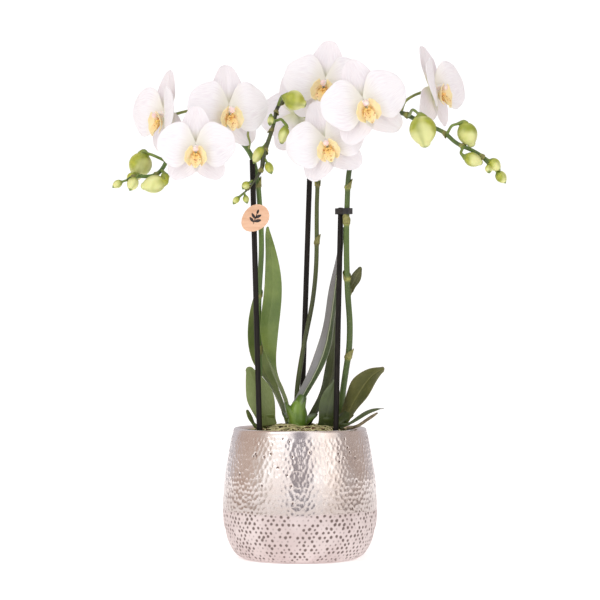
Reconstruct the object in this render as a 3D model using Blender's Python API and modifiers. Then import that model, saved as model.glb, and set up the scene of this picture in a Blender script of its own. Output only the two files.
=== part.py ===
"""A potted moth orchid: three small plants in a grow pot, set in a decorative pot.

Run it with: blender --background --python part.py
The sizes below are in millimetres and the scene is in metres. +Z is up, and the origin is the
centre of the decorative pot's underside. The plants' points are measured from the middle of the
soil line, which the pots' sizes set, with -Y towards the front.
"""

import math

import bmesh
import bpy
from mathutils import Matrix, Vector

MM = 0.001

# Decorative pot
POT_HEIGHT = 100.0
POT_RADIUS = 59.2
POT_WALL = 4.0
POT_FLOOR = 5.0
LIP_RADIUS = 1.6
POT_STEPS = 36

# Grow pot, which stands inside it
GROW_WALL = 1.2
GROW_FLOOR = 1.4
GROW_TAPER = 9.0
GROW_RIM = 2.0
GROW_DROP = 3.0
DRAIN_RADIUS = 3.0
DRAIN_RING = 18.0
DRAIN_COUNT = 6
GROW_STEPS = 28

# Growing medium
MEDIUM_DOME = 2.5
MEDIUM_DROP = 4.5
ROOT_DEPTH = 42.0
ROOT_RADIUS = 2.0

# Plants
CROWN_RADIUS = {"left": 4.6, "centre": 6.2, "right": 4.6}
CROWN_HEIGHT = {"left": 13.0, "centre": 20.5, "right": 13.0}
STAKE_RADIUS = 2.1
STAKE_DEPTH = 30.0
SPIKE_RADIUS = {"left": 2.4, "centre": 2.0, "right": 2.6}
SPIKE_TIP_RADIUS = 1.4
PEDICEL_RADIUS = 1.1
LEAF_THICKNESS = 1.5
TEPAL_THICKNESS = 0.9

# Tag and clips
TAG_LENGTH = 23.5
TAG_WIDTH = 18.5
TAG_THICKNESS = 2.0
TAG_LEVEL = 163.0
CLIP_HEIGHT = 4.6
CLIP_WALL = 1.3
CLIP_LEVEL = 169.0

# Gaps between pieces that touch
GAP = 0.3
SOCKET_GAP = 0.4

# Where the soil line is
SOIL = POT_HEIGHT - GROW_DROP

# The plants' points below were set out for a bed of this radius. On another bed their feet move
# in or out with it, and less so higher up, down to nothing at the spread height
BED_RADIUS = 42.85
SPREAD_HEIGHT = 206.0

# Colour (linear red, green, blue), roughness and metallic value of each material
MATERIALS = {
    "silver_glaze": ((0.52, 0.47, 0.46), 0.28, 0.85),
    "grow_pot_plastic": ((0.035, 0.036, 0.038), 0.55, 0.0),
    "bark_mix": ((0.16, 0.10, 0.055), 0.95, 0.0),
    "crown_green": ((0.12, 0.19, 0.03), 0.45, 0.0),
    "leaf_green": ((0.17, 0.23, 0.06), 0.38, 0.0),
    "leaf_olive": ((0.10, 0.095, 0.04), 0.42, 0.0),
    "root_brown": ((0.10, 0.08, 0.05), 0.7, 0.0),
    "spike_green": ((0.09, 0.12, 0.035), 0.45, 0.0),
    "stake_brown": ((0.022, 0.018, 0.014), 0.6, 0.0),
    "petal_white": ((0.86, 0.82, 0.83), 0.5, 0.0),
    "sepal_white": ((0.80, 0.75, 0.76), 0.5, 0.0),
    "lip_yellow": ((0.82, 0.58, 0.22), 0.5, 0.0),
    "bud_green": ((0.50, 0.50, 0.16), 0.45, 0.0),
    "tag_wood": ((0.72, 0.46, 0.30), 0.65, 0.0),
    "clip_plastic": ((0.015, 0.014, 0.014), 0.35, 0.0),
}

# Each stake from its foot at the soil line to its top
STAKES = {
    "left": ((-30.8, -20.4, 0.0), (-36.4, -14.5, 208.0)),
    "centre": ((1.0, 21.0, 0.0), (8.0, 23.0, 212.0)),
    "right": ((27.2, -18.5, 0.0), (31.3, -3.7, 171.8)),
}

# Each flower spike's route from its crown to its tip
SPIKES = {
    "left": (
        (-30.5, 6.0, 3.0), (-31.4, 5.5, 28.0), (-31.4, 4.0, 54.0), (-31.8, 0.0, 100.0), (-29.5, -5.0, 139.0),
        (-30.4, -7.5, 166.0), (-32.8, -7.5, 196.0), (-36.4, -7.0, 211.0), (-42.0, -8.0, 219.5),
        (-51.6, -8.0, 228.5), (-61.6, -7.0, 235.3), (-71.7, -6.0, 239.0), (-82.4, -7.0, 237.0),
        (-91.5, -9.0, 227.6), (-98.0, -13.0, 216.0), (-102.3, -18.0, 205.0), (-106.5, -20.5, 196.8),
        (-113.6, -22.0, 193.8), (-119.0, -22.0, 195.6), (-124.2, -23.0, 197.2),
        (-129.4, -24.0, 193.9), (-134.0, -25.5, 189.0),
    ),
    "centre": (
        (-2.8, 11.0, 3.0), (-2.5, 13.5, 30.0), (0.9, 14.0, 54.0), (5.0, 14.5, 76.0),
        (9.7, 15.0, 99.0), (12.4, 15.0, 124.0), (13.0, 15.5, 147.0), (13.0, 16.0, 174.0),
        (14.0, 17.5, 201.5), (13.4, 21.0, 226.0), (10.0, 23.5, 243.0), (2.5, 22.0, 253.5),
        (-6.5, 17.0, 257.5), (-13.5, 8.0, 255.5), (-18.2, -3.0, 248.0), (-19.6, -11.0, 237.0),
        (-23.6, -16.0, 223.5), (-27.0, -21.5, 207.5), (-35.6, -26.0, 192.0), (-44.5, -29.0, 180.0),
    ),
    "right": (
        (31.6, 4.4, 3.0), (32.0, 3.2, 18.0), (33.0, 0.6, 31.0), (35.2, -3.4, 46.5), (37.6, -6.6, 62.0),
        (38.2, -8.5, 84.0), (36.6, -8.5, 104.0), (35.7, -9.0, 131.0), (35.6, -9.0, 158.0),
        (36.2, -9.0, 177.0), (37.4, -7.0, 200.0), (42.0, -4.5, 217.0), (49.5, -4.0, 229.5),
        (57.5, -6.0, 239.5), (67.8, -8.0, 245.6), (77.5, -9.5, 245.2), (87.5, -9.5, 239.5),
        (100.5, -9.5, 233.6), (110.6, -15.5, 229.0), (118.4, -20.5, 219.8), (127.5, -22.0, 216.2),
        (136.0, -22.5, 212.5), (142.4, -23.0, 205.0), (147.0, -23.5, 200.5),
    ),
}

# Crowns at the soil line
CROWNS = {"left": (-27.5, -1.0), "centre": (-1.8, 2.0), "right": (27.0, -2.5)}

# Leaves: the midrib's route, the half-width, the way the upper face looks at the base and at the
# tip (degrees round from the front towards the right), how far up it looks, the fold at the base
# and its material
LEAVES = {
    "leaf_centre_tall_left": (
        ((-9.9, 1.5, 13.0), (-12.2, 1.0, 27.0), (-19.6, 2.0, 42.0), (-24.4, 3.5, 59.0), (-25.4, 3.5, 76.0),
         (-22.8, 3.0, 94.0), (-21.0, 2.5, 108.0), (-21.2, 1.5, 124.0), (-22.8, 0.0, 141.0), (-25.2, -1.0, 156.0)),
        8.6, 90.0, 25.0, 0.0, 60.0, "leaf_green"),
    "leaf_centre_rear_left": (
        ((-10.4, 8.8, 6.0), (-14.6, 12.6, 18.0), (-20.5, 17.0, 31.0), (-27.2, 20.5, 45.0), (-33.1, 22.5, 61.0),
         (-35.6, 24.0, 77.0), (-35.5, 24.0, 92.0), (-33.1, 23.0, 107.0)),
        7.2, 75.0, 20.0, 5.0, 60.0, "leaf_green"),
    "leaf_centre_tall_right": (
        ((-0.6, 1.6, 22.0), (4.0, 1.0, 30.0), (10.2, 0.4, 41.0), (16.6, 0.5, 54.5), (21.2, 1.5, 69.0),
         (24.2, 3.0, 85.0), (27.0, 4.5, 105.0), (29.2, 5.0, 124.0), (31.2, 4.5, 141.0), (33.2, 3.5, 156.0)),
        8.2, -45.0, -60.0, 0.0, 60.0, "leaf_green"),
    "leaf_centre_rear_right": (
        ((7.2, 7.6, 6.0), (13.8, 12.6, 17.0), (20.4, 16.8, 28.0), (24.4, 20.0, 40.0), (26.6, 22.0, 53.0),
         (27.4, 22.5, 68.0), (27.8, 22.5, 84.0), (28.3, 21.5, 100.0)),
        7.4, -50.0, -55.0, 0.0, 60.0, "leaf_green"),
    "leaf_left_broad": (
        ((-24.6, -9.4, 5.5), (-26.6, -12.2, 14.5), (-30.2, -13.2, 27.0), (-34.4, -12.8, 38.0),
         (-39.2, -11.4, 49.0)),
        10.2, 180.0, 190.0, 0.0, 35.0, "leaf_green"),
    "leaf_left_short": (
        ((-34.6, -2.0, 4.5), (-37.4, -2.4, 9.0), (-40.6, -3.0, 16.0)),
        4.6, 90.0, 60.0, 30.0, 30.0, "leaf_green"),
    "leaf_right_spike": (
        ((38.6, -4.4, 108.5), (40.6, -2.6, 113.0), (43.4, 0.4, 119.0), (47.0, 4.0, 126.5)),
        4.2, -20.0, 10.0, 10.0, 60.0, "leaf_olive"),
    "leaf_right_broad": (
        ((34.6, -6.0, 9.5), (39.0, -8.6, 18.5), (45.0, -12.0, 29.5), (50.8, -15.4, 38.5), (56.6, -18.8, 45.0),
         (62.6, -22.0, 48.5)),
        11.4, -32.0, -20.0, 40.0, 40.0, "leaf_olive"),
    "leaf_right_thin": (
        ((33.4, -12.9, 4.4), (39.5, -17.2, 7.6), (46.0, -19.6, 12.4), (54.4, -22.0, 17.6), (63.6, -26.0, 18.6)),
        3.2, -5.0, -5.0, 60.0, 40.0, "leaf_olive"),
    "leaf_right_stub": (
        ((18.6, -7.4, 5.5), (20.4, -9.6, 14.0), (23.4, -10.4, 25.0), (27.4, -10.0, 40.0)),
        7.6, 10.0, 0.0, 10.0, 40.0, "leaf_olive"),
}

# Aerial roots
ROOTS = {
    "aerial_root_right": (
        ((36.0, -16.4, 3.2), (40.5, -19.6, 4.2), (45.0, -22.0, 6.0), (51.0, -26.0, 10.4), (58.6, -30.0, 15.6)), 1.2),
}

# Flowers: centre, the way it faces (degrees round from the front towards the right, and up), its
# roll (degrees clockwise as seen from the front), its size, and the spike and the route of its
# stalk up to its back
FLOWERS = {
    "far_left": ((-105.5, 18.0, 245.0), -56.0, 0.0, 0.0, 1.0, "left", ((-75.5, 3.0, 243.5), (-85.5, 15.0, 248.0))),
    "left_low": ((-77.8, -48.5, 215.0), 0.0, -4.0, 0.0, 0.89, "left", ((-78.0, -13.0, 222.0), (-80.0, -30.0, 212.0))),
    "left_high": ((-54.5, -22.0, 245.5), 22.0, 0.0, 0.0, 0.98, "centre",
                  ((-22.0, -1.0, 260.0), (-30.0, -5.0, 264.5), (-42.5, -8.0, 262.5), (-51.5, -12.5, 250.5))),
    "centre_back": ((-1.0, 39.0, 247.0), 165.0, 0.0, 12.0, 0.95, "centre", ((7.6, 26.5, 243.0),)),
    "centre_high": ((19.0, 0.0, 267.5), -8.0, 4.0, 5.0, 0.98, "centre", ((13.0, 22.0, 255.0), (17.5, 16.0, 264.0))),
    "centre_low": ((20.0, -22.0, 220.5), -4.0, 0.0, -17.0, 0.94, "right", ((32.5, -6.0, 209.0), (24.0, -8.0, 217.0))),
    "right_high": ((48.6, -40.0, 249.0), 4.0, 2.0, -17.0, 1.00, "right", ((56.5, -15.0, 246.0), (53.0, -25.0, 251.0))),
    "far_right": ((103.5, -4.0, 263.0), 60.0, 10.0, 0.0, 1.0, "right", ((80.0, -7.0, 253.0), (89.0, -2.0, 259.0))),
}

# Buds that stand clear: spike, stalk's route, way the bud points, its length and its radius
BUDS = {
    "left_large": ("left", ((-111.5, -19.0, 211.0), (-119.0, -11.5, 214.0)), (-0.3, 0.05, -0.95), 19.0, 8.8),
    "left_low": ("left", ((-101.0, -25.0, 196.0), (-101.5, -29.0, 190.5)), (-0.97, 0.0, -0.2), 17.0, 6.8),
    "centre_large": ("centre", ((-14.0, -6.0, 257.0), (-12.0, -17.0, 256.0)), (0.85, -0.12, -0.35), 15.5, 7.8),
    "centre_hanging": ("centre", ((-14.5, -13.5, 239.0), (-10.5, -14.5, 234.5)), (-0.25, 0.0, -0.97), 13.5, 4.2),
    "centre_narrow": ("centre", ((-22.0, -21.0, 242.0),), (-0.1, -0.5, -1.0), 9.0, 2.4),
    "right_large": ("right", ((83.5, -17.0, 242.0), (85.5, -28.0, 245.0), (90.5, -38.0, 240.0)),
                    (0.15, -0.25, -1.0), 22.0, 10.2),
    "right_upper": ("right", ((115.5, -20.0, 233.5), (124.0, -20.0, 236.0)), (0.35, 0.0, -0.9), 17.5, 7.6),
    "right_lower": ("right", ((122.0, -25.5, 212.5), (124.0, -27.0, 210.0)), (0.9, 0.0, -0.35), 13.5, 5.4),
}

# Buds that are part of a spike's young tip: start on the spike, the bud's end, its radius
TIP_BUDS = {
    "left": (
        ((-120.0, -22.2, 196.0), (-131.5, -15.0, 191.5), 4.5), ((-122.5, -22.8, 196.8), (-128.5, -31.0, 184.0), 4.4),
        ((-131.0, -24.6, 192.0), (-142.0, -25.5, 186.4), 3.1),
    ),
    "centre": (
        ((-24.0, -16.4, 222.6), (-35.2, -20.5, 205.0), 4.1), ((-26.8, -21.0, 208.5), (-21.6, -29.0, 196.6), 3.2),
        ((-36.0, -26.0, 191.5), (-43.5, -29.5, 185.0), 3.0), ((-42.5, -28.3, 182.6), (-40.0, -30.5, 174.0), 2.4),
        ((-43.6, -28.8, 181.0), (-50.5, -31.0, 173.5), 2.4),
    ),
    "right": (
        ((139.0, -22.8, 210.0), (151.5, -25.0, 199.5), 4.8), ((142.5, -23.0, 205.0), (143.0, -31.5, 197.0), 2.8),
        ((146.0, -23.4, 201.6), (156.0, -22.0, 190.0), 4.2),
    ),
}


def clear_scene():
    for old in list(bpy.data.objects):
        bpy.data.objects.remove(old, do_unlink=True)


def collection(name):
    made = bpy.data.collections.new(name)
    bpy.context.scene.collection.children.link(made)
    return made


def material(name):
    if name in bpy.data.materials:
        return bpy.data.materials[name]
    color, roughness, metallic = MATERIALS[name]
    made = bpy.data.materials.new(name)
    made.use_nodes = True
    shader = made.node_tree.nodes["Principled BSDF"]
    shader.inputs["Base Color"].default_value = (*color, 1.0)
    shader.inputs["Roughness"].default_value = roughness
    shader.inputs["Metallic"].default_value = metallic
    made.diffuse_color = (*color, 1.0)
    return made


def add_object(name, data, place):
    made = bpy.data.objects.new(name, data)
    place.objects.link(made)
    return made


def finish(made, material_name, smooth=True):
    """Give a mesh object its material and its shading."""
    made.data.materials.clear()
    made.data.materials.append(material(material_name))
    for face in made.data.polygons:
        face.use_smooth = smooth
    return made


def mesh_of(thing):
    """The object as its modifiers make it, with doubled points welded, as a mesh in world space."""
    bpy.context.view_layer.update()
    ready = thing.evaluated_get(bpy.context.evaluated_depsgraph_get())
    data = bpy.data.meshes.new_from_object(ready)
    data.transform(thing.matrix_world)
    shape = bmesh.new()
    shape.from_mesh(data)
    bmesh.ops.remove_doubles(shape, verts=shape.verts, dist=0.002 * MM)
    bmesh.ops.recalc_face_normals(shape, faces=shape.faces)
    shape.to_mesh(data)
    shape.free()
    return data


def as_mesh(thing):
    """Replace an object with a plain mesh object of the same name."""
    data = mesh_of(thing)
    name = thing.name
    place = thing.users_collection[0]
    bpy.data.objects.remove(thing, do_unlink=True)
    return add_object(name, data, place)


def combine(target, others, operation="UNION"):
    """Join the others to the target, or cut them from it, and leave one mesh object."""
    for other in others:
        step = target.modifiers.new(operation.lower(), "BOOLEAN")
        step.operation = operation
        step.solver = "EXACT"
        step.object = other
    made = as_mesh(target)
    for other in others:
        bpy.data.objects.remove(other, do_unlink=True)
    return made


def world(point):
    """A point measured from the middle of the soil line, in metres."""
    x, y, z = point
    return Vector((x, y, z + SOIL)) * MM


def smooth_route(points, spacing):
    """Points about a spacing apart on a smooth curve through the given ones."""
    points = [Vector(point) for point in points]
    ends = [2 * points[0] - points[1], *points, 2 * points[-1] - points[-2]]
    route = []
    for a, b, c, d in zip(ends, ends[1:], ends[2:], ends[3:]):
        steps = max(1, round((c - b).length / spacing))
        for step in range(steps):
            t = step / steps
            tangent_in = (c - a) / 2
            tangent_out = (d - b) / 2
            route.append(
                (2 * t**3 - 3 * t**2 + 1) * b
                + (t**3 - 2 * t**2 + t) * tangent_in
                + (3 * t**2 - 2 * t**3) * c
                + (t**3 - t**2) * tangent_out
            )
    return [*route, points[-1]]


def tube(name, points, radii, place, sides=2):
    """A round tube along points in millimetres, with a radius in millimetres at each point."""
    curve = bpy.data.curves.new(name, "CURVE")
    curve.dimensions = "3D"
    curve.bevel_depth = MM
    curve.bevel_resolution = sides
    curve.use_fill_caps = True
    spline = curve.splines.new("POLY")
    spline.points.add(len(points) - 1)
    for control, point, radius in zip(spline.points, points, radii):
        control.co = (*world(point), 1.0)
        control.radius = radius
    return as_mesh(add_object(name, curve, place))


def turned(name, profile, steps, place):
    """A solid turned from a profile of radii and heights in millimetres, closed at the axis."""
    data = bpy.data.meshes.new(name)
    points = [(radius * MM, 0.0, height * MM) for radius, height in profile]
    data.from_pydata(points, [(i, i + 1) for i in range(len(points) - 1)], [])
    made = add_object(name, data, place)
    screw = made.modifiers.new("turn", "SCREW")
    screw.steps = steps
    screw.render_steps = steps
    screw.use_merge_vertices = True
    screw.merge_threshold = 0.00001
    return as_mesh(made)


def cylinder(name, radius, low, high, vertices, place, at=(0.0, 0.0)):
    shape = bmesh.new()
    bmesh.ops.create_cone(
        shape, cap_ends=True, segments=vertices, radius1=radius * MM, radius2=radius * MM, depth=(high - low) * MM
    )
    data = bpy.data.meshes.new(name)
    shape.to_mesh(data)
    shape.free()
    data.transform(Matrix.Translation(Vector((at[0], at[1], (low + high) / 2)) * MM))
    return add_object(name, data, place)


def sheet(name, columns, rows, place_of, thickness, place):
    """A thin solid on a grid, where place_of(across, along) gives each point in metres."""
    shape = bmesh.new()
    bmesh.ops.create_grid(shape, x_segments=columns, y_segments=rows, size=1.0)
    for corner in shape.verts:
        corner.co = place_of(corner.co.x, (corner.co.y + 1) / 2)
    data = bpy.data.meshes.new(name)
    shape.to_mesh(data)
    shape.free()
    made = add_object(name, data, place)
    solid = made.modifiers.new("thickness", "SOLIDIFY")
    solid.thickness = thickness * MM
    solid.offset = 0.0
    return as_mesh(made)


# Pots and medium


def pot_outline():
    """The decorative pot's outer radius at each height, from its foot to its lip."""
    shares = (
        (0.0, 0.745), (0.03, 0.828), (0.07, 0.878), (0.12, 0.922), (0.165, 0.949), (0.21, 0.963),
        (0.26, 0.988), (0.38, 1.0), (0.53, 0.988), (0.626, 0.975), (0.72, 0.949), (0.81, 0.922),
        (0.90, 0.895), (0.97, 0.868),
    )
    return [(POT_RADIUS * radius, POT_HEIGHT * height) for height, radius in shares]


def mouth_radius():
    return pot_outline()[-1][0] - POT_WALL


def pot_profile():
    outside = pot_outline()
    lip = (outside[-1][0] - LIP_RADIUS * 0.6, POT_HEIGHT)
    inner_lip = (mouth_radius() + LIP_RADIUS * 0.6, POT_HEIGHT)
    inside = [(radius - POT_WALL, height) for radius, height in outside if height > POT_FLOOR + POT_WALL]
    inside.reverse()
    floor = [(inside[-1][0] - POT_WALL, POT_FLOOR), (0.0, POT_FLOOR)]
    return [(0.0, 0.0), *outside, lip, inner_lip, *inside, *floor]


def grow_outline():
    """The grow pot's outer radius at its foot and below its rim."""
    top = mouth_radius() - GAP - GROW_RIM
    return top - GROW_TAPER, top


def grow_profile():
    bottom, top = grow_outline()
    low = POT_FLOOR + GAP
    high = SOIL
    return [
        (0.0, low), (bottom, low), (top, high - GROW_RIM), (top + GROW_RIM - GAP, high - GROW_RIM),
        (top + GROW_RIM - GAP, high), (top - GROW_WALL, high), (bottom - GROW_WALL, low + GROW_FLOOR),
        (0.0, low + GROW_FLOOR),
    ]


def grow_inside(height):
    """The radius of the grow pot's inner wall at a height."""
    bottom, top = grow_outline()
    foot = POT_FLOOR + GAP + GROW_FLOOR
    share = (height - foot) / (SOIL - foot)
    return bottom + (top - bottom) * share - GROW_WALL


def brim_radius():
    return grow_inside(SOIL - MEDIUM_DROP) - 2 * GAP


def moved_with_bed(points, x, y):
    """Points moved in or out as a foot at x, y is moved with the bed, less so higher up."""
    change = brim_radius() / BED_RADIUS - 1
    moved = []
    for point in points:
        share = change * min(1.0, max(0.0, 1 - point[2] / SPREAD_HEIGHT))
        moved.append(Vector(point) + Vector((x, y, 0.0)) * share)
    return moved


def seated(points, side):
    """Points of one plant, moved with its crown."""
    return moved_with_bed(points, *CROWNS[side])


def medium_profile():
    low = POT_FLOOR + GAP + GROW_FLOOR + GAP
    high = SOIL - MEDIUM_DROP
    foot = grow_inside(low) - 2 * GAP
    brim = brim_radius()
    return [
        (0.0, low), (foot, low), (brim, high), (brim * 0.75, SOIL - 1.0),
        (brim * 0.4, SOIL + MEDIUM_DOME * 0.5), (0.0, SOIL + MEDIUM_DOME * 0.6),
    ]


def build_pots(place, tools):
    pot = turned("decorative_pot", pot_profile(), POT_STEPS, place)
    finish(pot, "silver_glaze")
    grow = turned("grow_pot", grow_profile(), GROW_STEPS, place)
    low = POT_FLOOR
    drains = []
    for i in range(DRAIN_COUNT):
        turn = 2 * math.pi * i / DRAIN_COUNT
        at = (DRAIN_RING * math.cos(turn), DRAIN_RING * math.sin(turn))
        drains.append(cylinder(f"drain_{i}", DRAIN_RADIUS, low - 2, low + 2 + GROW_FLOOR, 10, tools, at))
    grow = combine(grow, drains, "DIFFERENCE")
    finish(grow, "grow_pot_plastic")


def crown_piece(name, side, extra, place):
    """A crown's short stem with its three thick roots, every radius larger by an extra."""
    x, y, _ = seated([(*CROWNS[side], 0.0)], side)[0]
    height = CROWN_HEIGHT[side]
    stem_points = [(x, y, z) for z in (-12.0 - extra, 0.0, height * 0.5, height * 0.85, height)]
    stem_radii = [CROWN_RADIUS[side] * share + extra for share in (0.7, 0.85, 1.0, 0.75, 0.35)]
    stem = tube(name, stem_points, stem_radii, place, 3)
    roots = []
    for i in range(3):
        turn = 2 * math.pi * (i + 0.25) / 3
        reach = Vector((math.cos(turn), math.sin(turn), 0.0))
        start = Vector((x, y, -8.0)) + reach * 1.5
        middle = Vector((x, y, -18.0)) + reach * 5.0
        end = Vector((x * 0.75, y * 0.75, -ROOT_DEPTH)) + reach * 7.0
        radii = [ROOT_RADIUS + extra, ROOT_RADIUS + extra, ROOT_RADIUS * 0.6 + extra]
        end += (end - middle).normalized() * extra
        roots.append(tube(f"{name}_root_{i}", [start, middle, end], radii, place))
    return combine(stem, roots)


def stake_line(side):
    foot, top = STAKES[side]
    return moved_with_bed((foot, top), *foot[:2])


def stake_ends(side, extra):
    foot, top = stake_line(side)
    along = (top - foot).normalized()
    return foot - along * (STAKE_DEPTH + extra), top


def build_medium(place, tools):
    medium = turned("growing_medium", medium_profile(), GROW_STEPS, place)
    cutters = []
    for side in CROWNS:
        cutters.append(crown_piece(f"socket_{side}", side, SOCKET_GAP, tools))
    for side in STAKES:
        bottom, top = stake_ends(side, SOCKET_GAP)
        radius = STAKE_RADIUS + SOCKET_GAP
        cutters.append(tube(f"hole_{side}", [bottom, top], [radius, radius], tools, 3))
    medium = combine(medium, cutters, "DIFFERENCE")
    finish(medium, "bark_mix")


def build_crowns_and_stakes(place):
    for side in CROWNS:
        finish(crown_piece(f"crown_{side}", side, 0.0, place), "crown_green")
    for side in STAKES:
        bottom, top = stake_ends(side, 0.0)
        radii = [STAKE_RADIUS * 0.5, STAKE_RADIUS, STAKE_RADIUS]
        tip = bottom + (top - bottom).normalized() * 6.0
        finish(tube(f"stake_{side}", [bottom, tip, top], radii, place, 3), "stake_brown")


# Spikes, buds and flowers


def spike_route(side):
    """The spike's centre line and its radius at each point."""
    route = smooth_route(seated(SPIKES[side], side), 12.0)
    count = len(route) - 1
    radii = []
    for i in range(count + 1):
        share = i / count
        radii.append(SPIKE_RADIUS[side] + (SPIKE_TIP_RADIUS - SPIKE_RADIUS[side]) * share**1.5)
    return route, radii


def bud_tube(name, stalk, direction, length, radius, place):
    """A stalk through its points that swells into a bud at its end."""
    along = Vector(direction).normalized()
    start = Vector(stalk[-1])
    shares = ((0.0, 0.30), (0.10, 0.62), (0.28, 0.93), (0.5, 1.0), (0.72, 0.86), (0.9, 0.5), (1.0, 0.16))
    points = [Vector(point) for point in stalk[:-1]]
    radii = [PEDICEL_RADIUS] * len(points)
    points += [start + along * length * share for share, _ in shares]
    radii += [max(PEDICEL_RADIUS * 0.8, radius * size) for _, size in shares[:-1]]
    radii.append(radius * shares[-1][1])
    return tube(name, points, radii, place)


def leave_spike(side, toward):
    """Where a stalk that goes toward a point starts, just clear of its spike."""
    route, radii = spike_route(side)
    toward = Vector(toward)
    fine = smooth_route(route, 1.0)
    nearest = min(fine, key=lambda point: (point - toward).length)
    thickness = radii[min(range(len(route)), key=lambda i: (route[i] - nearest).length)]
    away = (toward - nearest).normalized()
    return nearest + away * (thickness + 2 * GAP + PEDICEL_RADIUS * 0.5)


def build_spikes(place):
    for side in SPIKES:
        route, radii = spike_route(side)
        spike = tube(f"spike_{side}", route, radii, place)
        buds = []
        for i, (start, end, radius) in enumerate(TIP_BUDS[side]):
            reach = Vector(end) - Vector(start)
            stalk = [start, Vector(start) + reach * 0.35]
            buds.append(bud_tube(f"tip_bud_{side}_{i}", stalk, reach, reach.length * 0.65, radius, place))
        finish(combine(spike, buds), "spike_green")


def build_buds(place):
    for name, (side, stalk, direction, length, radius) in BUDS.items():
        stalk = [leave_spike(side, stalk[0]), *stalk]
        route = smooth_route(stalk, 4.0)
        finish(bud_tube(f"bud_{name}", route, direction, length, radius, place), "bud_green")


def tepal_point(across, along, angle, root, length, half_width, claw, depth, arch, sweep, cup):
    """A point of a petal or sepal in the flower's own frame: x right, y up, z to the front."""
    bulge = math.sin(math.pi * (0.02 + 0.95 * along) ** 0.85) ** (1.1 - 0.55 * along)
    width = half_width * bulge + claw * (1 - along) ** 3
    reach = root + (length - root) * along
    side = across * width
    height = depth + arch * math.sin(math.pi * along) + sweep * along**2 + cup * across**2 * bulge
    turn = math.radians(angle)
    x = reach * math.sin(turn) + side * math.cos(turn)
    y = reach * math.cos(turn) - side * math.sin(turn)
    return Vector((x, y, height)) * MM


def tepal(name, columns, rows, place, **shape):
    return sheet(name, columns, rows, lambda u, v: tepal_point(u, v, **shape), TEPAL_THICKNESS, place)


def lip_point(across, along):
    """The lip's middle lobe, which hangs forward and down below the column."""
    width = 2.2 + 4.2 * math.sin(math.pi * (0.05 + 0.9 * along)) ** 1.2
    x = across * width
    y = -5.4 - 11.5 * along
    z = 3.4 + 6.5 * math.sin(0.5 * math.pi * along) + 1.2 * across**2
    return Vector((x, y, z)) * MM


def side_lobe_point(across, along, side):
    """One of the lip's side lobes, which rise beside the column."""
    width = 1.1 + 2.2 * math.sin(math.pi * (0.05 + 0.85 * along))
    x = side * (1.6 + 5.8 * along + 0.6 * across)
    y = -5.2 + 7.0 * along**1.2
    z = 3.4 + (1 + across) * width
    return Vector((x, y, z)) * MM


def flower_templates(tools):
    """The sepals, petals and lip of a flower of size 1 at the origin of its own frame."""
    sepals = []
    for angle, length in ((0.0, 35.0), (140.0, 33.0), (-140.0, 33.0)):
        sepals.append(
            tepal(f"sepal_{len(sepals)}", 3, 5, tools, angle=angle, root=1.5, length=length, half_width=11.6,
                  claw=2.5, depth=-2.4, arch=0.0, sweep=-3.5, cup=0.8)
        )
    base = cylinder("sepal_base", 4.0, -3.4, -1.6, 10, tools)
    sepals = combine(base, sepals)
    petals = []
    for angle in (80.0, -80.0):
        petals.append(
            tepal(f"petal_{len(petals)}", 4, 6, tools, angle=angle, root=1.2, length=33.0, half_width=18.2,
                  claw=2.0, depth=0.3, arch=2.4, sweep=-1.5, cup=-0.8)
        )
    column_points = [(0.0, 0.0, -SOIL), (0.0, 0.6, 4.5 - SOIL), (0.0, -0.4, 9.0 - SOIL)]
    column = tube("column", column_points, [2.9, 2.2, 1.9], tools)
    petals = combine(column, petals)
    lobes = [
        sheet("side_lobe_right", 2, 3, lambda u, v: side_lobe_point(u, v, 1), TEPAL_THICKNESS, tools),
        sheet("side_lobe_left", 2, 3, lambda u, v: side_lobe_point(u, v, -1), TEPAL_THICKNESS, tools),
    ]
    middle = sheet("middle_lobe", 3, 4, lip_point, TEPAL_THICKNESS, tools)
    foot = cylinder("lip_foot", 2.3, 2.4, 5.4, 8, tools, (0.0, -5.6))
    lip = combine(foot, [middle, *lobes])
    return sepals, petals, lip


def facing(yaw, pitch):
    """The way a flower looks: the front turned round towards the right, and up."""
    turn, lift = math.radians(yaw), math.radians(pitch)
    return Vector((math.sin(turn) * math.cos(lift), -math.cos(turn) * math.cos(lift), math.sin(lift)))


def flower_matrix(centre, yaw, pitch, roll, size):
    forward = facing(yaw, pitch)
    right = Vector((0.0, 0.0, 1.0)).cross(forward).normalized()
    up = forward.cross(right)
    axes = Matrix((right, up, forward)).transposed().to_4x4()
    rolled = axes @ Matrix.Rotation(math.radians(-roll), 4, "Z")
    return Matrix.Translation(world(centre)) @ rolled @ Matrix.Scale(size, 4)


def build_flowers(place, tools):
    templates = flower_templates(tools)
    for name, (centre, yaw, pitch, roll, size, side, stalk) in FLOWERS.items():
        matrix = flower_matrix(centre, yaw, pitch, roll, size)
        pieces = []
        for part, template in zip(("sepals", "petals", "lip"), templates):
            data = template.data.copy()
            data.transform(matrix)
            pieces.append(add_object(f"flower_{name}_{part}", data, place))
        forward = facing(yaw, pitch)
        back = Vector(centre) - forward * 2.6 * size
        behind = Vector(centre) - forward * 8.0 * size
        route = smooth_route([leave_spike(side, stalk[0]), *stalk, behind, back], 7.0)
        pedicel = tube(f"pedicel_{name}", route, [PEDICEL_RADIUS] * len(route), place)
        pieces[0] = combine(pieces[0], [pedicel])
        for made, look in zip(pieces, ("sepal_white", "petal_white", "lip_yellow")):
            finish(made, look)
    for template in templates:
        bpy.data.objects.remove(template, do_unlink=True)


# Leaves and roots


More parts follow.
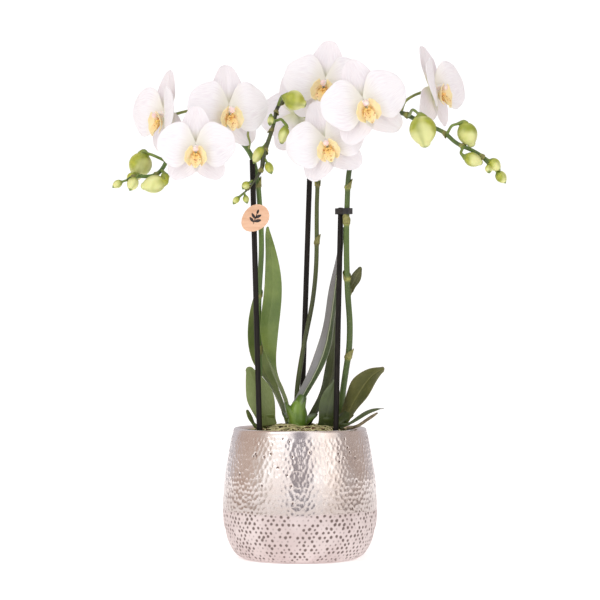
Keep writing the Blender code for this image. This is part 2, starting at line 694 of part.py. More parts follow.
def leaf_place(route, half_width, base_yaw, tip_yaw, pitch, fold):
    """The function that places a leaf's grid: a trough at the base that opens towards the tip."""
    fine = smooth_route(route, 2.0)
    last = len(fine) - 1

    def place_of(across, along):
        spot = along * last
        i = min(int(spot), last - 1)
        centre = fine[i].lerp(fine[i + 1], spot - i)
        tangent = (fine[min(i + 2, last)] - fine[max(i - 1, 0)]).normalized()
        turned_share = min(1.0, max(0.0, (along - 0.1) / 0.5))
        turned_share = turned_share**2 * (3 - 2 * turned_share)
        normal = facing(base_yaw + (tip_yaw - base_yaw) * turned_share, pitch)
        side = normal.cross(tangent).normalized()
        up = tangent.cross(side)
        swell = math.sin(math.pi * (0.06 + 0.90 * along) ** 0.8) ** 0.7
        width = half_width * (0.42 * (1 - along) ** 2 + swell * (0.35 + 0.65 * min(1.0, 2 * along)))
        curl = math.radians(fold * (1 - along) + 12.0 * along)
        radius = width / curl
        angle = across * curl
        return world(centre + side * radius * math.sin(angle) + up * radius * (1 - math.cos(angle)))

    return place_of


def side_of(name):
    """The plant that a leaf or root grows from, which its name gives."""
    return next(word for word in name.split("_") if word in CROWNS)


def build_leaves(place):
    for name, (route, *shape, look) in LEAVES.items():
        length = sum((Vector(b) - Vector(a)).length for a, b in zip(route, route[1:]))
        rows = max(6, round(length / 11.0))
        place_of = leaf_place(seated(route, side_of(name)), *shape)
        finish(sheet(name, 4, rows, place_of, LEAF_THICKNESS, place), look)
    for name, (route, radius) in ROOTS.items():
        points = smooth_route(seated(route, side_of(name)), 6.0)
        finish(tube(name, points, [radius] * (len(points) - 1) + [radius * 0.5], place), "root_brown")


# Tag and clips


def flat_piece(name, outlines, thickness, place):
    """A flat piece from closed outlines in millimetres, of which a second one is a hole."""
    curve = bpy.data.curves.new(name, "CURVE")
    curve.dimensions = "2D"
    curve.fill_mode = "BOTH"
    curve.extrude = thickness / 2 * MM
    for outline in outlines:
        spline = curve.splines.new("POLY")
        spline.points.add(len(outline) - 1)
        for control, (x, y) in zip(spline.points, outline):
            control.co = (x * MM, y * MM, 0.0, 1.0)
        spline.use_cyclic_u = True
    return as_mesh(add_object(name, curve, place))


def move(made, matrix):
    made.data.transform(matrix)
    return made


def at_height(points, height):
    """The point at a height on a line through points."""
    for low, high in zip(points, points[1:]):
        low, high = Vector(low), Vector(high)
        if low.z <= height <= high.z:
            return low.lerp(high, (height - low.z) / (high.z - low.z))
    return Vector(points[-1])


def band_outline(first, second, radius, arc=7):
    """The outline of a band round two circles of one radius."""
    along = (second - first).to_2d().normalized()
    heading = math.atan2(along.y, along.x)
    outline = []
    for centre, start in ((second, heading - math.pi / 2), (first, heading + math.pi / 2)):
        for i in range(arc):
            turn = start + math.pi * i / (arc - 1)
            outline.append((centre.x + radius * math.cos(turn), centre.y + radius * math.sin(turn)))
    return outline


def build_clip(name, side, height, place):
    """A flat band that holds a spike to its stake."""
    stake = at_height(stake_line(side), height)
    spike = at_height(spike_route(side)[0], height)
    inner = SPIKE_RADIUS[side] + 2 * GAP
    rings = [band_outline(stake, spike, inner + CLIP_WALL), band_outline(stake, spike, inner)]
    band = flat_piece(name, rings, CLIP_HEIGHT, place)
    return move(band, Matrix.Translation(world((0.0, 0.0, height))))


def tag_outline(count=22):
    """A rounded plate, longer towards its upper right and lower left."""
    outline = []
    lean = math.radians(42)
    for i in range(count):
        turn = 2 * math.pi * i / count
        x = TAG_LENGTH / 2 * math.cos(turn)
        y = TAG_WIDTH / 2 * math.sin(turn) * (1.0 + 0.1 * math.cos(turn))
        outline.append((x * math.cos(lean) - y * math.sin(lean), x * math.sin(lean) + y * math.cos(lean)))
    return outline


def build_tag_and_clips(place):
    finish(build_clip("clip_right", "right", CLIP_LEVEL, place), "clip_plastic", smooth=False)
    finish(build_clip("tag_clip", "left", TAG_LEVEL, place), "clip_plastic", smooth=False)
    stake = at_height(stake_line("left"), TAG_LEVEL)
    front = stake.y - SPIKE_RADIUS["left"] - 3 * GAP - CLIP_WALL - TAG_THICKNESS / 2
    tag = flat_piece("name_tag", [tag_outline()], TAG_THICKNESS, place)
    upright = Matrix.Rotation(math.radians(90), 4, "X")
    spot = Matrix.Translation(world((stake.x + 1.0, front - GAP, TAG_LEVEL)))
    finish(move(tag, spot @ upright), "tag_wood", smooth=False)


def build():
    clear_scene()
    parts = collection("potted_orchid")
    tools = collection("helpers")
    build_pots(parts, tools)
    build_medium(parts, tools)
    build_crowns_and_stakes(parts)
    build_spikes(parts)
    build_buds(parts)
    build_flowers(parts, tools)
    build_leaves(parts)
    build_tag_and_clips(parts)


build()
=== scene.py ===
"""The looks of a potted moth orchid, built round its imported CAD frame.

Every piece takes its place from the CAD nodes: stems and flower stalks are followed slice by slice,
buds and roots ring by ring, leaves by the edges and midrib of their slices, and each flower by the
span of its petals and the place of its lip. Lengths are in millimetres until a mesh is made.
"""

import math

import bmesh
import bpy
import numpy as np
from mathutils import Matrix, Vector


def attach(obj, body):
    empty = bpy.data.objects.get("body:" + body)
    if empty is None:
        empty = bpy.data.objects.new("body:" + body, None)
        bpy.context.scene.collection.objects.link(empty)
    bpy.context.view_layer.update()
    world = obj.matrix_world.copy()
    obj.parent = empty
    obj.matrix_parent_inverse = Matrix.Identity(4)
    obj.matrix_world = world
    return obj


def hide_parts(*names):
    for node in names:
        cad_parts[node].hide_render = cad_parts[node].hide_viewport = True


MM = 0.001
UP = np.array([0.0, 0.0, 1.0])

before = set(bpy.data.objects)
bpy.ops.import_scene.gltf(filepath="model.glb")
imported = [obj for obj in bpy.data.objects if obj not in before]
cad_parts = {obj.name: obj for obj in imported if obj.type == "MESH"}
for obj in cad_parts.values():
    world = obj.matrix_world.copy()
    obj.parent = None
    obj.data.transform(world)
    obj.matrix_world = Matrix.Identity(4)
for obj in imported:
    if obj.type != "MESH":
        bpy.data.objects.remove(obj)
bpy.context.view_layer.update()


# Materials


class Nodes:
    """The means to build and link the nodes of a tree."""

    def __init__(self, tree):
        self.tree = tree

    def feed(self, node, inputs):
        for key, value in inputs.items():
            if isinstance(value, bpy.types.NodeSocket):
                self.tree.links.new(value, node.inputs[key])
            else:
                node.inputs[key].default_value = value
        return node

    def node(self, kind, inputs, **settings):
        made = self.tree.nodes.new("ShaderNode" + kind)
        for key, value in settings.items():
            setattr(made, key, value)
        return self.feed(made, inputs)


class Look(Nodes):
    """A procedural material."""

    def __init__(self, name, **sockets):
        self.material = bpy.data.materials.new(name)
        self.material.use_nodes = True
        super().__init__(self.material.node_tree)
        self.shader = self.tree.nodes["Principled BSDF"]
        self.feed(self.shader, {key.replace("_", " "): value for key, value in sockets.items()})

    def mark(self, name):
        """A value that the mesh carries at each vertex."""
        return self.node("Attribute", {}, attribute_name=name).outputs["Fac"]

    def place(self, stretch=(1.0, 1.0, 1.0)):
        """Where a point is, in metres, stretched along each axis."""
        spot = self.node("TexCoord", {}).outputs["Object"]
        return self.node("Mapping", {"Vector": spot, "Scale": stretch}).outputs["Vector"]

    def spot(self, x, y):
        return self.node("CombineXYZ", {0: x, 1: y}).outputs[0]

    def noise(self, scale, detail=3.0, vector=None):
        inputs = {"Vector": vector or self.place(), "Scale": scale, "Detail": detail}
        return self.node("TexNoise", inputs).outputs["Fac"]

    def compute(self, operation, first, second=0.0):
        return self.node("Math", {0: first, 1: second}, operation=operation).outputs[0]

    def product(self, first, second):
        return self.compute("MULTIPLY", first, second)

    def fan(self, across, along, wide, long):
        """Places for a noise drawn out into veins."""
        return self.spot(self.product(across, wide), self.product(along, long))

    def ramp(self, value, low, high, first=0.0, last=1.0):
        """A value that goes smoothly from first at low to last at high."""
        inputs = {"Value": value, "From Min": low, "From Max": high, "To Min": first, "To Max": last}
        return self.node("MapRange", inputs, interpolation_type="SMOOTHSTEP").outputs["Result"]

    def blend(self, factor, first, second):
        made = self.node("Mix", {}, data_type="RGBA")
        self.feed(made, {0: factor, 6: color(first), 7: color(second)})
        return made.outputs[2]

    def shade(self, value, low, high, first, second):
        """A colour that goes from first to second as a value goes from low to high."""
        return self.blend(self.ramp(value, low, high), first, second)

    def finish(self, base, height, distance, roughness=None):
        """Set the shader's colour, its bump in millimetres and, where it varies, its roughness."""
        bump = self.node("Bump", {"Height": height, "Distance": distance * MM, "Strength": 1.0})
        self.feed(self.shader, {"Base Color": base, "Normal": bump.outputs[0]})
        if roughness is not None:
            self.feed(self.shader, {"Roughness": roughness})
        return self.material


def color(value):
    """A colour given as display values from 0 to 255, as the shader takes it."""
    if isinstance(value, bpy.types.NodeSocket):
        return value
    parts = [part / 255 for part in value]
    return (*(((part + 0.055) / 1.055) ** 2.4 if part > 0.04 else part / 12.92 for part in parts), 1.0)


def silver_look():
    """Hammered silver above, worn to pinkish white between dark pits below."""
    look = Look("hammered_silver")
    band = look.mark("band")
    pit = look.mark("pit")
    cloud = look.noise(35.0, 4.0)
    grain = look.noise(900.0, 3.0)
    # painted shade: the hammered silver is darkened most just above the band and less up to 0.7 of the pot's
    # height, standing in for a dimmer reflection there
    low = look.ramp(look.mark("rise"), 0.36, 0.7, 0.75, 0.0)
    bright = look.shade(cloud, 0.35, 0.7, (222, 210, 204), (238, 232, 230))
    bright = look.blend(low, bright, (184, 172, 167))
    satin = look.shade(cloud, 0.35, 0.7, (206, 190, 188), (222, 209, 207))
    shell = look.blend(band, bright, satin)
    stain = look.blend(band, (104, 86, 80), (124, 109, 104))
    base = look.shade(pit, 0.1, 0.8, shell, stain)
    shine = look.ramp(band, 0.0, 1.0, 0.2, 0.44)
    rough = look.compute("ADD", shine, look.product(look.ramp(pit, 0.1, 0.8), 0.25))
    metal = look.ramp(band, 0.0, 1.0, 0.93, 0.35)
    look.feed(look.shader, {"Metallic": metal})
    return look.finish(base, grain, 0.03, rough)


def petal_look(name, main, shade, heart):
    """Thin white tissue with fine veins that fan out from the flower's heart."""
    look = Look(name, Roughness=0.5, Sheen_Weight=0.15, Subsurface_Weight=0.3, Subsurface_Scale=0.004,
                Subsurface_Radius=(1.0, 0.8, 0.75))
    along = look.mark("along")
    across = look.mark("across")
    vein = look.noise(3.2, 2.0, look.fan(across, along, 9.0, 1.3))
    cloud = look.noise(60.0, 3.0)
    tissue = look.shade(vein, 0.3, 0.65, shade, main)
    tissue = look.blend(look.ramp(cloud, 0.3, 0.75, 0.2, 0.8), tissue, main)
    base = look.shade(along, 0.0, 0.5, heart, tissue)
    return look.finish(base, vein, 0.08)


def lip_look():
    """Yellow lobes that pale to cream at their edges, marked red-brown towards their base."""
    look = Look("lip_yellow", Roughness=0.42, Subsurface_Weight=0.2, Subsurface_Scale=0.002)
    along = look.mark("along")
    cloud = look.noise(260.0, 3.0)
    spots = look.noise(620.0, 2.0)
    yellow = look.blend(cloud, (240, 192, 98), (250, 222, 150))
    lobe = look.shade(along, 0.1, 0.55, yellow, (246, 229, 180))
    depth = look.ramp(along, 0.15, 0.75, 1.0, 0.0)
    mark = look.product(look.ramp(spots, 0.56, 0.66), depth)
    base = look.blend(mark, lobe, (184, 116, 72))
    return look.finish(base, cloud, 0.1)


def column_look():
    """The white column with its faintly pink cap."""
    look = Look("column_white", Roughness=0.4, Subsurface_Weight=0.25, Subsurface_Scale=0.002)
    tint = look.ramp(look.mark("along"), 0.45, 1.0)
    cloud = look.noise(300.0, 3.0)
    base = look.blend(look.product(tint, cloud), (250, 243, 240), (228, 178, 170))
    return look.finish(base, cloud, 0.06)


def bud_look():
    """A stalk that pales into a yellow-green bud with darker seams and a lighter tip."""
    look = Look("bud_green", Roughness=0.38, Subsurface_Weight=0.05, Subsurface_Scale=0.0015)
    swell = look.mark("swell")
    seam = look.mark("seam")
    along = look.mark("along")
    cloud = look.noise(130.0, 4.0)
    patch = look.compute("ADD", look.product(along, 0.45), look.noise(75.0, 1.0))
    stalk = look.blend(cloud, (92, 112, 44), (128, 146, 66))
    skin = look.shade(cloud, 0.3, 0.7, (146, 156, 46), (184, 188, 70))
    skin = look.shade(along, 0.0, 0.22, (118, 134, 46), skin)
    skin = look.blend(look.ramp(patch, 0.62, 0.9, 0.0, 0.85), skin, (228, 229, 160))
    skin = look.blend(look.product(seam, 0.4), skin, (112, 124, 48))
    base = look.blend(swell, stalk, skin)
    return look.finish(base, look.noise(700.0), 0.05)


def stem_look(name, main, dark, node):
    """A green stem, browner in streaks and paler or browner at its nodes."""
    look = Look(name, Roughness=0.42)
    ring = look.mark("ring")
    streak = look.noise(90.0, 4.0, look.place((1.0, 1.0, 0.12)))
    speck = look.noise(900.0, 2.0)
    skin = look.shade(streak, 0.35, 0.68, main, dark)
    skin = look.blend(look.ramp(speck, 0.6, 0.75, 0.0, 0.35), skin, (140, 146, 84))
    base = look.blend(ring, skin, node)
    return look.finish(base, look.noise(500.0, 3.0, look.place((1.0, 1.0, 0.2))), 0.08)


def leaf_look(name, top, deep, rib, under, crease, sheen=None):
    """Glossy above, with a pale midrib and fine lengthwise veins, and matt below.

    A sheen of two tones pales one half, and crease is how strongly the midrib shows.
    """
    look = Look(name, Coat_Weight=0.12, Coat_Roughness=0.2)
    across = look.mark("across")
    along = look.mark("along")
    below = look.mark("under")
    cloud = look.noise(45.0, 4.0)
    vein = look.noise(4.5, 2.0, look.fan(across, along, 12.0, 1.6))
    away = look.compute("ABSOLUTE", across)
    blade = look.shade(cloud, 0.3, 0.7, deep, top)
    blade = look.blend(look.ramp(vein, 0.45, 0.8, 0.0, 0.4), blade, rib)
    if sheen:
        blade = look.blend(look.ramp(across, -0.25, 0.0, 0.9, 0.0), blade, look.blend(vein, *sheen))
    blade = look.blend(look.ramp(away, 0.03, 0.1, crease, 0.0), blade, rib)
    blade = look.blend(look.ramp(away, 0.93, 1.0, 0.0, 0.5), blade, rib)
    back = look.shade(vein, 0.35, 0.7, under, tuple(min(255, part + 18) for part in under))
    base = look.blend(below, blade, back)
    rough = look.ramp(below, 0.0, 1.0, 0.3, 0.55)
    return look.finish(base, vein, 0.12, rough)


def sheath_look(name, dark, bright, leaf):
    """The fleshy base of the leaves, dulling to the leaves' green as it runs up."""
    look = Look(name, Roughness=0.36, Coat_Weight=0.15, Coat_Roughness=0.2)
    along = look.mark("along")
    cloud = look.noise(70.0, 3.0)
    streak = look.noise(260.0, 3.0, look.place((1.0, 1.0, 0.15)))
    flesh = look.shade(cloud, 0.3, 0.7, dark, bright)
    base = look.shade(along, 0.4, 1.0, flesh, leaf)
    base = look.blend(look.ramp(streak, 0.5, 0.8, 0.0, 0.3), base, bright)
    return look.finish(base, streak, 0.12)


def plain_look(name, first, second, roughness, scale, bump):
    """Two tones in a fine mottle, with a bump to match."""
    look = Look(name, Roughness=roughness)
    mottle = look.noise(scale, 5.0)
    return look.finish(look.shade(mottle, 0.3, 0.7, first, second), mottle, bump)


def stake_look():
    """Dark stained cane with fine lengthwise grain."""
    look = Look("stake_cane", Roughness=0.5, Specular_IOR_Level=0.2)
    grain = look.noise(1500.0, 3.0, look.place((1.0, 1.0, 0.02)))
    base = look.shade(grain, 0.35, 0.7, (13, 10, 8), (38, 32, 28))
    return look.finish(base, grain, 0.12)


def tag_look():
    """Pale card cut from thin wood, with a faint grain."""
    look = Look("tag_wood", Roughness=0.62)
    grain = look.noise(240.0, 4.0, look.place((0.25, 1.0, 1.6)))
    base = look.shade(grain, 0.3, 0.75, (232, 190, 158), (219, 172, 138))
    return look.finish(base, grain, 0.06)


# Meshes


def linked(name, data):
    """An object in the scene."""
    made = bpy.data.objects.new(name, data)
    bpy.context.scene.collection.objects.link(made)
    return made


def mesh_object(name, points, faces, look, marks):
    """A smooth mesh object from points in millimetres, riding on the frame's body."""
    data = bpy.data.meshes.new(name)
    data.from_pydata((np.asarray(points) * MM).tolist(), [], faces)
    for key, values in marks.items():
        mark = data.attributes.new(key, "FLOAT", "POINT")
        mark.data.foreach_set("value", np.ascontiguousarray(values, np.float32).ravel())
    data.polygons.foreach_set("use_smooth", [True] * len(data.polygons))
    data.materials.append(look)
    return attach(linked(name, data), "root")


def grid_faces(rows, columns, around, first):
    """The quads of a grid of points, and its end caps where its rows go around."""
    index = np.arange(rows * columns).reshape(rows, columns) + first
    left = index if around else index[:, :-1]
    right = np.roll(index, -1, axis=1) if around else index[:, 1:]
    faces = np.stack([left[:-1], right[:-1], right[1:], left[1:]], axis=-1).reshape(-1, 4).tolist()
    if around:
        faces += [index[0, ::-1].tolist(), index[-1].tolist()]
    return faces


def surfaces(name, grids, look, around=False):
    """One mesh object of several grids, each given as its points and its marks."""
    points = []
    faces = []
    marks = {}
    for grid, marked in grids:
        rows, columns, _ = grid.shape
        faces += grid_faces(rows, columns, around, sum(len(part) for part in points))
        points.append(grid.reshape(-1, 3))
        for key, values in marked.items():
            marks.setdefault(key, []).append(np.broadcast_to(values, (rows, columns)).ravel())
    marks = {key: np.concatenate(parts) for key, parts in marks.items()}
    return mesh_object(name, np.concatenate(points), faces, look, marks)


def subdivide(made):
    """Smooth a mesh by splitting its faces once."""
    smooth = made.modifiers.new("smooth", "SUBSURF")
    smooth.levels = smooth.render_levels = 1


def thicken(made, thickness):
    """Give a thin sheet its thickness."""
    solid = made.modifiers.new("thickness", "SOLIDIFY")
    solid.thickness = thickness * MM
    solid.offset = 0.0
    return made


def unit(vector):
    return vector / np.linalg.norm(vector)


def unit_rows(rows):
    return rows / np.maximum(np.linalg.norm(rows, axis=1), 1e-9)[:, None]


def smooth_step(value, low, high):
    """A share that goes smoothly from 0 at low to 1 at high."""
    share = np.clip((value - low) / (high - low), 0.0, 1.0)
    return share * share * (3 - 2 * share)


def travelled(line):
    """How far along a line each of its points is."""
    return np.concatenate([[0.0], np.cumsum(np.linalg.norm(np.diff(line[:, :3], axis=0), axis=1))])


def smooth_line(points, spacing):
    """Rows at an even spacing on a smooth curve through the given ones, their first three numbers a place."""
    points = np.asarray(points, float)
    ends = np.vstack([2 * points[0] - points[1], points, 2 * points[-1] - points[-2]])
    fine = []
    for a, b, c, d in zip(ends, ends[1:], ends[2:], ends[3:]):
        for t in np.arange(0.0, 1.0, 0.1):
            fine.append(
                (2 * t**3 - 3 * t**2 + 1) * b + (t**3 - 2 * t**2 + t) * (c - a) / 2
                + (3 * t**2 - 2 * t**3) * c + (t**3 - t**2) * (d - b) / 2
            )
    fine = np.array([*fine, points[-1]])
    far = travelled(fine)
    even = np.linspace(0.0, far[-1], max(3, round(far[-1] / spacing) + 1))
    return np.stack([np.interp(even, far, column) for column in fine.T], axis=1)


def relaxed(rows, passes):
    """Rows of numbers with their unevenness smoothed away, their ends kept."""
    rows = np.array(rows, float)
    for _ in range(passes):
        rows[1:-1] = (rows[:-2] + 2 * rows[1:-1] + rows[2:]) / 4
    return rows


def full_turn(count):
    """A row of evenly spaced angles that go once round."""
    return np.linspace(0.0, 2 * math.pi, count, endpoint=False)[None, :]


def axes_along(line):
    """Unit vectors along a line and two across it that turn as little as they can."""
    along = np.gradient(line, axis=0)
    along /= np.linalg.norm(along, axis=1)[:, None]
    side = np.cross(along[0], [0.31, 0.95, 0.0])
    sides = []
    for way in along:
        side = unit(side - way * (side @ way))
        sides.append(side)
    sides = np.array(sides)
    return along, sides, np.cross(along, sides)


def loft(line, radii, columns, relief=None):
    """The grid of a round tube along a line, its radius changed by relief(distance, turn)."""
    _, side, up = axes_along(line)
    turn = full_turn(columns)
    spread = np.asarray(radii)[:, None] + np.zeros_like(turn)
    if relief is not None:
        spread = spread + relief(travelled(line)[:, None], turn)
    around = np.cos(turn)[..., None] * side[:, None] + np.sin(turn)[..., None] * up[:, None]
    return line[:, None] + spread[..., None] * around


# Reading the frame

MOST_SLICES = 400


def corners(node):
    """A CAD node's triangles in millimetres."""
    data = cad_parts[node].data
    data.calc_loop_triangles()
    points = np.empty(len(data.vertices) * 3, np.float32)
    data.vertices.foreach_get("co", points)
    faces = np.empty(len(data.loop_triangles) * 3, np.int32)
    data.loop_triangles.foreach_get("vertices", faces)
    return points.reshape(-1, 3).astype(float)[faces.reshape(-1, 3)] / MM


def distinct(triangles):
    """A node's points, each once, and its triangles as indices of them."""
    points, index = np.unique(np.round(triangles.reshape(-1, 3), 3), axis=0, return_inverse=True)
    return points, index.reshape(-1, 3)


def points_of(node):
    """A node's points, each once."""
    return distinct(corners(node))[0]


def farthest_pair(points):
    """The two points that lie farthest apart."""
    span = np.linalg.norm(points[:, None] - points[None], axis=2)
    return points[list(np.unravel_index(span.argmax(), span.shape))]


def section(triangles, point, normal, reach):
    """The segments in which a plane cuts a node's triangles, those within reach of the point."""
    height = (triangles - point) @ normal
    cut = (height.min(1) < 0) & (height.max(1) > 0)
    start, height = triangles[cut], height[cut]
    end, beyond = np.roll(start, -1, axis=1), np.roll(height, -1, axis=1)
    crossing = (height < 0) != (beyond < 0)
    share = np.where(crossing, height / np.where(crossing, height - beyond, 1.0), 0.0)
    found = (start + (end - start) * share[..., None])[crossing].reshape(-1, 2, 3)
    return found[np.linalg.norm(found.mean(1) - point, axis=1) < reach]


def middle_of(cut):
    """The middle of a section's outline and its mean radius."""
    weight = np.linalg.norm(cut[:, 1] - cut[:, 0], axis=1) + 1e-9
    middle = (cut.mean(1) * weight[:, None]).sum(0) / weight.sum()
    spread = np.linalg.norm(cut.mean(1) - middle, axis=1)
    return middle, (spread * weight).sum() / weight.sum()


def cap_of(triangles, near, reach):
    """The middle of the end of a node near a point, and the way the node runs from it."""
    points, _ = distinct(triangles)
    first = points[np.argmin(np.linalg.norm(points - near, axis=1))]
    away = np.linalg.norm(points - first, axis=1)
    middle = points[away < reach].mean(0)
    rest = points[(away >= reach) & (away < 6 * reach)].mean(0)
    return middle, unit(rest - middle)


def follow(triangles, start, heading, step, reach, stop=None, stem=False):
    """Slices of a long node from its start: the middle, radius and segments of each.

    A stem is followed straight past the places where something grows out of it.
    """
    slices = []
    middle = start
    while stop is None or np.linalg.norm(middle - stop) > 2 * step:
        cut = section(triangles, middle + heading * step, heading, reach)
        if len(cut) < 3 or len(slices) > MOST_SLICES:
            break
        found, radius = middle_of(cut)
        if stem and slices and radius > 1.15 * slices[-1][1]:
            found = middle + heading * step
            radius = slices[-1][1]
        if stem:
            reach = max(2.4, 2.1 * radius)
        heading = unit(heading * (2.0 if stem else 1.0) + unit(found - middle))
        middle = found
        slices.append((middle, radius, cut))
    return slices


def rings_of(node, near, reach):
    """The middle and radius of each ring of a plain tube, from its end near a point."""
    points, faces = distinct(corners(node))
    beside = [set() for _ in points]
    for face in faces.tolist():
        for corner in face:
            beside[corner].update(face)
    first = points[np.argmin(np.linalg.norm(points - near, axis=1))]
    ring = set(np.flatnonzero(np.linalg.norm(points - first, axis=1) < reach).tolist())
    seen = set(ring)
    rings = []
    while ring:
        members = points[sorted(ring)]
        middle = members.mean(0)
        rings.append((*middle, np.linalg.norm(members - middle, axis=1).mean()))
        ring = set().union(*(beside[corner] for corner in ring)) - seen
        seen |= ring
    return np.array(rings)


def lowest(triangles):
    points = triangles.reshape(-1, 3)
    return points[points[:, 2].argmin()]


# The pot and what is in it

COLUMNS = 720
PROFILE_STEP = 0.55
FLOOR_HEIGHT = 5.0
BAND_TOP = 0.375

# The marks round the pot: how many are in a row, how far apart the rows are, the seed of their chances and how
# far each strays, as a share of that distance
PITS = (82, 3.2, 3, 0.16)
DIMPLES = (92, 3.4, 5, 0.34)
MARK_STRETCH = 1.45
PIT_DEPTH = 0.5
SPECK_DEPTH = 0.2
BAND_STEP = 0.12
MOST_DIMPLE = 2.2

# Worn patches in the silver: share of a turn, half width, share of the pot's height and half height
WORN = ((0.853, 0.018, 0.86, 0.09), (0.662, 0.022, 0.82, 0.08), (0.33, 0.03, 0.7, 0.1))


def pot_outline():
    """The pot's outer radius at the heights where its CAD outline has a corner, and its wall."""
    points = points_of("decorative_pot")
    radius = np.hypot(points[:, 0], points[:, 1])
    levels = np.unique(np.round(points[:, 2], 1))
    widest = np.array([radius[abs(points[:, 2] - level) < 0.06].max() for level in levels])
    outer = np.ones(len(levels), bool)
    outer[1:-1] = widest[1:-1] > (widest[:-2] + widest[2:]) / 2 - 2.0
    middle = abs(points[:, 2] - levels[outer.sum() // 2 + 1]) < 0.06
    return np.column_stack([widest, levels])[outer], np.ptp(radius[middle])


def nearest_mark(turn, rise, count, pitch, seed, jitter):
    """How far each point is from the nearest of the staggered marks round the pot, and that mark's chance."""
    rng = np.random.default_rng(seed)
    rows = int(rise.max() / pitch) + 4
    shift = rng.uniform(-jitter, jitter, (rows, count, 2))
    chance = rng.uniform(0.0, 1.0, (rows, count))
    best = np.full(turn.shape, 1e9)
    luck = np.zeros(turn.shape)
    for down in (-1, 0, 1):
        row = np.clip(np.round(rise / pitch).astype(int) + down, 0, rows - 1)
        spot = turn * count - 0.5 * (row % 2)
        for beside in (-1, 0, 1):
            column = np.round(spot).astype(int) + beside
            key = column % count
            wide = (spot - column - shift[row, key, 0]) * pitch * MARK_STRETCH
            high = rise - (row + shift[row, key, 1]) * pitch
            away = np.hypot(wide, high)
            closer = away < best
            best = np.where(closer, away, best)
            luck = np.where(closer, chance[row, key], luck)
    return best, luck


def pot_profile():
    """The radius and height of each row of the pot, the slice of them that is its outside, and its height."""
    outline, wall = pot_outline()
    height = outline[-1, 1]
    body = outline[outline[:, 1] < height - 0.5]
    side = relaxed(smooth_line(np.column_stack([body, np.zeros(len(body))]), PROFILE_STEP)[:, :2], 12)
    top_radius, top_height = side[-1]
    half = wall / 2
    rim = [
        (top_radius - half + half * math.cos(turn), top_height + (height - top_height) * math.sin(turn))
        for turn in np.linspace(0.0, math.pi, 15)[1:-1]
    ]
    inside = side[::-12] - (wall, 0.0)
    inside = inside[inside[:, 1] > wall + FLOOR_HEIGHT]
    foot = side[0]
    under = [(foot[0] * share, 0.0) for share in (0.02, 0.5, 0.9)]
    under += [(foot[0] - 1.2, 0.3), (foot[0] - 0.5, 0.1)]
    floor = [(foot[0] - 6.0, FLOOR_HEIGHT + 0.6), (20.0, FLOOR_HEIGHT), (0.6, FLOOR_HEIGHT)]
    return np.array([*under, *side, *rim, *inside, *floor]), slice(len(under), len(under) + len(side)), height


def build_pot():
    """The hammered pot: dimples above, and below a satin band full of dark pits."""
    profile, outside, height = pot_profile()
    side = profile[outside]
    rise = np.zeros(len(profile))
    rise[outside] = travelled(np.column_stack([side, np.zeros(len(side))]))
    turn = np.linspace(0.0, 1.0, COLUMNS, endpoint=False)
    turn, rise = np.meshgrid(turn, rise)
    level = profile[:, 1][:, None] / height
    shown = np.zeros(len(profile))
    shown[outside] = 1.0
    fade = shown[:, None] * smooth_step(1.0 - level, 0.035, 0.07) * smooth_step(level, 0.0, 0.03)
    angle = turn * 2 * math.pi
    wave = 0.004 * np.sin(angle * 3 + 1.0) + 0.003 * np.sin(angle * 11)
    band = 1.0 - smooth_step(level + wave, BAND_TOP - 0.01, BAND_TOP + 0.012)
    pit_away, pit_luck = nearest_mark(turn, rise, *PITS)
    size = 1.0 + 0.6 * pit_luck
    ragged = 1.0 + 0.12 * np.sin(angle * 97 + rise * 1.3)
    pit = 1.0 - smooth_step(pit_away * ragged, size * 0.4, size * 1.15)
    pit = pit * (0.35 + 0.65 * smooth_step(pit_luck, 0.05, 0.6))
    dimple_away, dimple_luck = nearest_mark(turn, rise, *DIMPLES)
    wear = sum(
        np.exp(-(((turn - at) / wide) ** 2) - ((level - high) / tall) ** 2) for at, wide, high, tall in WORN
    )
    speck = (1.0 - smooth_step(dimple_away, 0.45, 1.25)) * (dimple_luck > 0.975 - 0.55 * wear)
    strength = 0.042 + 0.008 * (1.0 - smooth_step(abs(level - BAND_TOP - 0.04), 0.0, 0.12))
    hammer = np.minimum(dimple_away, MOST_DIMPLE) ** 2 * strength * (0.6 + 0.8 * dimple_luck)
    satin = BAND_STEP - PIT_DEPTH * pit
    silver = hammer - BAND_STEP - SPECK_DEPTH * speck
    radius = profile[:, 0][:, None] + fade * (band * satin + (1.0 - band) * silver)
    upright = profile[:, 1][:, None] + 0 * radius
    grid = np.stack([radius * np.cos(angle), radius * np.sin(angle), upright], axis=-1)
    marks = {"rise": level, "band": band * shown[:, None], "pit": fade * (band * pit + (1.0 - band) * speck)}
    pot = surfaces("hammered_pot", [(grid, marks)], silver_look(), around=True)
    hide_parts("decorative_pot")


# Bark chips and strands: how many, a chip's least and greatest size, a strand's step, and how far below the
# growing medium's highest point its surface reaches
CHIP_COUNT = 330
CHIP_SIZES = ((3.5, 2.2, 1.2), (8.5, 5.0, 2.6))
STRAND_COUNT = 170
STRAND_STEP = 2.4
SURFACE_DEPTH = 7.0


def medium_height():
    """The radii and heights of the corners of the growing medium's surface, from the middle outwards."""
    points = points_of("growing_medium")
    points = points[points[:, 2] > points[:, 2].max() - SURFACE_DEPTH]
    radius = np.hypot(points[:, 0], points[:, 1])
    order = np.argsort(radius)
    return radius[order], points[order, 2]


